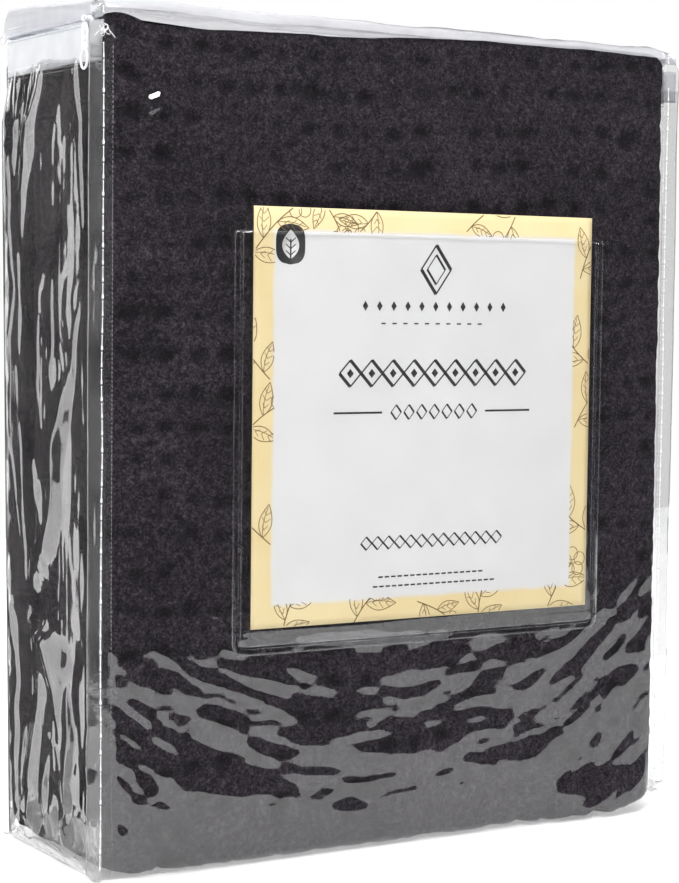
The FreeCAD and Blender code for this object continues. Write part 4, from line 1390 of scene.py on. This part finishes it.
def bud(bag, centre, radius):
    """A small round flower of five petals, in outline."""
    for k in range(5):
        a = 2 * math.pi * k / 5 + 0.4
        t = np.linspace(0, 2 * math.pi, 16)
        x = centre[0] + radius * 0.55 * math.cos(a) + radius * 0.42 * np.cos(t)
        y = centre[1] + radius * 0.55 * math.sin(a) + radius * 0.42 * np.sin(t)
        ink_line(bag, np.stack([x, y], -1), 0.4)


def sprig(bag, root, angle, length, leaves, size):
    """A stem with leaves in pairs and a bud at its tip."""
    t = np.linspace(0, 1, 20)
    bend = 0.12 * length * np.sin(2.2 * t)
    c, s = math.cos(angle), math.sin(angle)
    x = root[0] + t * length * c - bend * s
    y = root[1] + t * length * s + bend * c
    ink_line(bag, np.stack([x, y], -1), 0.55)
    for k in range(leaves):
        i = int(3 + k * 14 / leaves)
        way = 1 if k % 2 else -1
        leaf(bag, (x[i], y[i]), angle + way * 0.85, size, size * 0.42)
    bud(bag, (x[-1], y[-1]), size * 0.45)


def in_border(bag, wide, high):
    """For each face, whether it lies on the card's coloured border."""
    band, margin = 11.0, 0.6
    keep = []
    verts = np.array(bag.verts)
    for face in bag.faces:
        middle = verts[list(face)].mean(0)
        u = (middle[0] - CARD_LOW.x) / MM
        v = (middle[2] - CARD_LOW.z) / MM
        inside_panel = band < u < wide - band and band < v < high - band
        off_card = u < margin or v < margin or u > wide - margin or v > high - margin
        keep.append(not inside_panel and not off_card)
    return keep


# the border's sprigs: root in mm from the card's corner, angle, length, leaves, leaf size
SPRIGS = [
    (-4, 172, 0.7, 40, 3, 17), (9, 118, 2.1, 30, 3, 15), (-5, 92, 0.5, 26, 2, 16),
    (10, 40, 2.2, 34, 3, 16), (16, -6, 1.1, 26, 3, 15), (52, -7, 0.8, 30, 3, 17),
    (92, 8, -0.6, 24, 2, 13), (128, -8, 1.3, 26, 3, 16), (168, -6, 0.9, 34, 3, 18),
    (200, 36, 2.4, 30, 3, 16), (186, 92, 0.8, 28, 2, 16), (201, 120, 2.3, 32, 3, 17),
    (188, 168, 1.0, 30, 3, 16), (150, 206, 4.1, 26, 2, 17), (118, 190, 0.5, 24, 2, 13),
    (72, 207, 3.9, 28, 3, 16), (34, 205, 5.2, 24, 2, 14),
]


def make_border_drawing():
    """Leafy sprigs in outline, cut off where the border ends."""
    art = MeshBag()
    for x, y, angle, length, leaves, size in SPRIGS:
        sprig(art, (x, y), angle, length, leaves, size)
    keep = in_border(art, CARD_WIDTH / MM, CARD_HEIGHT / MM)
    art.faces = [face for face, good in zip(art.faces, keep) if good]
    art.drop_unused()
    return art.make("card_border_drawing", INK_BROWN)


def rule(bag, x0, x1, y, width):
    """One straight level line."""
    ink_line(bag, [(x0 + (x1 - x0) * t, y) for t in np.linspace(0, 1, 8)], width)


def dashes(bag, x0, x1, y, count, width, share):
    """A dashed line; the share is how much of it is ink."""
    step = (x1 - x0) / count
    for k in range(count):
        rule(bag, x0 + k * step, x0 + (k + share) * step, y, width)


def lozenge(bag, x, y, half_wide, half_high, line):
    """One outlined lozenge, its lines thick towards the right."""
    top = (x, y + half_high)
    corners = [top, (x + half_wide, y), (x, y - half_high), (x - half_wide, y), top]
    widths = (line, line * 0.45, line, line * 0.45)
    for a, b, width in zip(corners, corners[1:], widths):
        ink_line(bag, [np.array(a) + (np.array(b) - np.array(a)) * t for t in np.linspace(0, 1, 5)], width)


def diamond(bag, x, y, half_wide, half_high):
    """One solid diamond."""
    places = np.linspace(-1, 1, 9)
    ink_line(bag, [(x + half_wide * t, y) for t in places], 2 * half_high * (1.02 - np.abs(places)))


def draw_ornaments(bag):
    """Plain ornaments where the print has its words: lozenges, bands of them, and rules."""
    middle = CARD_WIDTH / MM / 2 + 3.0
    lozenge(bag, middle, 171, 8.6, 12.0, 1.8)
    lozenge(bag, middle, 171, 5.2, 7.2, 1.2)
    for place in np.linspace(-40, 40, 11):
        diamond(bag, middle + place, 153.0, 1.5, 2.4)
    dashes(bag, middle - 31, middle + 31, 144.6, 10, 0.7, 0.4)
    # a woven band of touching lozenges with solid hearts
    for place in np.linspace(-48, 48, 9):
        lozenge(bag, middle + place, 120.5, 6.0, 6.4, 1.7)
        diamond(bag, middle + place, 120.5, 1.9, 2.2)
    rule(bag, middle - 57, middle - 30, 101.5, 1.0)
    for place in np.linspace(-22, 22, 7):
        lozenge(bag, middle + place, 101.5, 2.9, 3.6, 1.0)
    rule(bag, middle + 30, middle + 57, 101.5, 1.0)
    for place in np.linspace(-38, 38, 13):
        lozenge(bag, middle + place, 38.0, 3.1, 3.2, 0.95)
    dashes(bag, middle - 31, middle + 31, 21.2, 17, 0.8, 0.7)
    dashes(bag, middle - 34, middle + 38, 16.6, 20, 0.8, 0.7)


def draw_badge(dark, pale):
    """A plain dark badge with a pale leaf, near the top left corner."""
    x, over_badge, over_leaf = 19.4, 0.07 * MM, 0.09 * MM
    places = np.linspace(-1, 1, 25)
    outline = 2 * 7.8 * (1.001 - np.abs(places) ** 3.4) ** 0.45
    ink_line(dark, [(x, 181.6 + 9.6 * t) for t in places], outline, 0.04 * MM)
    reach = np.linspace(0, 1, 20)
    body = 9.0 * np.sin(math.pi * reach ** 0.9) ** 0.9 + 0.02
    ink_line(pale, [(x, 174.6 + 13.8 * t) for t in reach], body, over_badge)
    ink_line(dark, [(x, 173.6 + 10.4 * t) for t in reach], 0.8, over_leaf)
    for k in range(3):
        foot, tip = 176.4 + 3.0 * k, 178.6 + 3.0 * k
        for way in (-1, 1):
            vein = [(x, foot), (x + way * 1.3, (foot + tip) / 2), (x + way * 2.6, tip)]
            ink_line(dark, vein, 0.5, over_leaf)


def make_card_print():
    """All the print on the card; none of it is lettering."""
    drawing = make_border_drawing()
    dark, pale = MeshBag(), MeshBag()
    draw_ornaments(dark)
    draw_badge(dark, pale)
    badge = pale.make("card_badge_leaf", CARD_STOCK)
    rules = dark.make("card_plain_rules", INK_DARK)
    for obj in (badge, drawing, rules):
        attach(obj, "card")


def make_pocket():
    """The pocket's film: welded flat at three edges, loose over the card and open at the top."""
    x = np.linspace(POCKET_LOW.x, POCKET_HIGH.x, 84)
    foot = POCKET_LOW.z + 15 * MM
    z = np.concatenate([np.arange(POCKET_LOW.z, foot, 0.75 * MM), np.linspace(foot, POCKET_HIGH.z, 78)])
    xx, zz = np.meshgrid(x, z)
    edge = np.minimum(np.minimum(xx - POCKET_LOW.x, POCKET_HIGH.x - xx), zz - POCKET_LOW.z)
    free = smooth((edge - POCKET_WELD) / (5 * MM))
    lift = 0.45 * MM + (POCKET_LIFT + CARD_BOW - 0.45 * MM) * free
    slack = 0.22 * MM * fractal(xx * 40, zz * 14, 161, 2) * free
    off_card = 1 - smooth((xx - CARD_LOW.x) / (3 * MM)) * smooth((CARD_HIGH.x - xx) / (3 * MM))
    off_card = np.maximum(off_card, 1 - smooth((zz - CARD_LOW.z) / (3 * MM)))
    slack = slack + off_card * free * 0.30 * MM * fractal(xx * 20, zz * 120, 165, 2)
    below = smooth((CARD_LOW.z - zz) / (4 * MM)) * free
    folds = np.sin((zz - POCKET_LOW.z) / MM * 1.15 + 2.6 * value_noise(xx * 20, zz * 60, 167))
    slack = slack + below * 0.20 * MM * folds
    # the two lower corners are cut round
    radius = 6 * MM
    for sign, corner_x in ((-1, POCKET_LOW.x), (1, POCKET_HIGH.x)):
        cx, cz = corner_x - sign * radius, POCKET_LOW.z + radius
        dx, dz = (xx - cx) * sign, cz - zz
        reach = np.hypot(dx, dz)
        beyond = (dx > 0) & (dz > 0) & (reach > radius)
        shrink = np.where(beyond, radius / np.maximum(reach, 1e-9), 1.0)
        xx = np.where(beyond, cx + (xx - cx) * shrink, xx)
        zz = np.where(beyond, cz + (zz - cz) * shrink, zz)
    points = on_front(xx, zz, lift + np.maximum(slack, -0.35 * MM))
    obj = shell_object("card_pocket_film", points, 0.10 * MM, POCKET_FILM)
    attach(obj, "bag")
    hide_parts("card_pocket")


def make_pocket_welds():
    """Fine raised lines along the pocket's cut edge and its weld."""
    ribs = MeshBag()
    for inset, size in ((0.0, 0.24), (POCKET_WELD / MM - 0.2, 0.30), (POCKET_WELD / MM - 1.6, 0.16)):
        r = 6.0 - min(inset * 0.5, 3.0)
        x0, x1 = POCKET_LOW.x / MM + inset, POCKET_HIGH.x / MM - inset
        z0, z1 = POCKET_LOW.z / MM + inset, POCKET_HIGH.z / MM - 0.6
        turn = np.linspace(0.15, 1.45, 8)
        line = [(x0, z) for z in np.linspace(z1, z0 + r, 90)]
        line += [(x0 + r - r * math.cos(a), z0 + r - r * math.sin(a)) for a in turn]
        line += [(x, z0) for x in np.linspace(x0 + r, x1 - r, 90)]
        line += [(x1 - r + r * math.sin(a), z0 + r - r * math.cos(a)) for a in turn]
        line += [(x1, z) for z in np.linspace(z0 + r, z1, 90)]
        line = np.array(line) * MM
        path = on_front(line[:, 0], line[:, 1], 0.62 * MM)
        wave = 0.8 + 0.35 * value_noise(line[:, 0] * 90 + line[:, 1] * 90, inset + 0 * line[:, 0], 171)
        ribs.add(*tube_mesh(path, size * MM * wave, 6, frame_up=(0, 1.0, 0)))
    obj = ribs.make("pocket_weld_lines", WELD_FILM)
    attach(obj, "bag")


make_card()
make_card_print()
make_pocket()
make_pocket_welds()


# ---- stage, lights and camera ----
def pale_material(name, value):
    """A pale surface that is evenly bright, so that the floor fades into the background."""
    s = Shader(name)
    tone = s.noise(3.0, 2.0, 0.5)
    colour = s.ramp(tone, [(0.2, (value,) * 3), (0.8, (value * 1.02,) * 3)])
    return s.finish(s.node("BsdfPrincipled", Base_Color=colour, Roughness=0.7, Specular_IOR_Level=0.1,
                           Emission_Color=(1.0, 1.0, 1.0, 1.0), Emission_Strength=0.40))


def plane(name, x0, x1, y0, y1, z, material):
    verts = [(x0, y0, z), (x1, y0, z), (x1, y1, z), (x0, y1, z)]
    obj = new_object(name, verts, [(0, 1, 2, 3)], material, False)
    return obj


def area_light(name, place, target, width, height, power):
    data = bpy.data.lights.new(name, "AREA")
    data.shape = "RECTANGLE"
    data.size, data.size_y = width, height
    data.energy = power
    obj = bpy.data.objects.new(name, data)
    obj.location = place
    obj.rotation_euler = (Vector(target) - Vector(place)).to_track_quat("-Z", "Y").to_euler()
    bpy.context.scene.collection.objects.link(obj)


def make_world():
    """White to the camera, dark in mirrors, and a weak cool fill for everything else."""
    world = bpy.data.worlds.new("studio")
    bpy.context.scene.world = world
    world.use_nodes = True
    tree = world.node_tree
    tree.nodes.clear()
    out = tree.nodes.new("ShaderNodeOutputWorld")

    def background(colour, strength):
        node = tree.nodes.new("ShaderNodeBackground")
        node.inputs["Color"].default_value = colour
        node.inputs["Strength"].default_value = strength
        return node

    def mix(share, first, second):
        node = tree.nodes.new("ShaderNodeMixShader")
        for number, source in enumerate((share, first.outputs[0], second.outputs[0])):
            tree.links.new(source, node.inputs[number])
        return node

    seen = background((1, 1, 1, 1), 1.0)
    fill = background((0.9, 0.93, 1.0, 1), 0.13)
    dark = background((0.02, 0.02, 0.022, 1), 1.0)
    paths = tree.nodes.new("ShaderNodeLightPath")
    unseen = mix(paths.outputs["Is Glossy Ray"], fill, dark)
    tree.links.new(mix(paths.outputs["Is Camera Ray"], unseen, seen).outputs[0], out.inputs["Surface"])


def make_camera():
    """A pinhole camera at the photo's angle, a little to the left of the bag and level with its middle."""
    focal_pixels, long_side = 2100.0, 883.0
    eye = Vector((-0.541, -0.932, 0.2657))
    yaw, pitch, roll = math.radians(29.97), math.radians(3.67), math.radians(0.63)
    data = bpy.data.cameras.new("camera")
    data.sensor_width = 36.0
    data.lens = data.sensor_width * focal_pixels / long_side
    camera = bpy.data.objects.new("camera", data)
    bpy.context.scene.collection.objects.link(camera)
    forward = Vector((math.sin(yaw) * math.cos(pitch), math.cos(yaw) * math.cos(pitch), -math.sin(pitch)))
    level = Vector((math.cos(yaw), -math.sin(yaw), 0))
    right = level * math.cos(roll) + level.cross(forward) * math.sin(roll)
    above = right.cross(forward)
    camera.matrix_world = Matrix((
        (right.x, above.x, -forward.x, eye.x),
        (right.y, above.y, -forward.y, eye.y),
        (right.z, above.z, -forward.z, eye.z),
        (0, 0, 0, 1)))
    bpy.context.scene.camera = camera


PALE = pale_material("pale_floor", 0.86)
# the front film mirrors the table's front edge; the wider floor isn't seen in mirrors
floor = plane("floor", -1.7, 1.7, -1.6, 1.3, -0.6 * MM, PALE)
floor.visible_glossy = False
plane("table_top", -0.8, 1.5, -0.52, 0.05, -0.3 * MM, PALE)

make_world()
centre = (0, 0, 0.2)
area_light("left_back_panel", (-1.15, 0.75, 0.25), (-0.15, 0, 0.25), 0.7, 1.9, 12.7)
area_light("front_left_softbox", (-1.2, -1.3, 1.2), centre, 0.9, 0.8, 12)
area_light("upper_front_softbox", (-0.25, -0.85, 1.55), (0, -0.05, 0.2), 0.7, 0.4, 22)
area_light("ceiling", (0.0, 0.6, 3.2), (0, 0.6, 0), 4.5, 4.5, 92)
area_light("back_softbox", (0.3, 1.9, 1.2), centre, 1.6, 1.2, 8)
area_light("right_softbox", (1.7, 0.5, 0.9), centre, 0.8, 1.0, 8)
make_camera()
bpy.context.scene.view_settings.view_transform = "Standard"
bpy.context.scene.cycles.transparent_max_bounces = 24
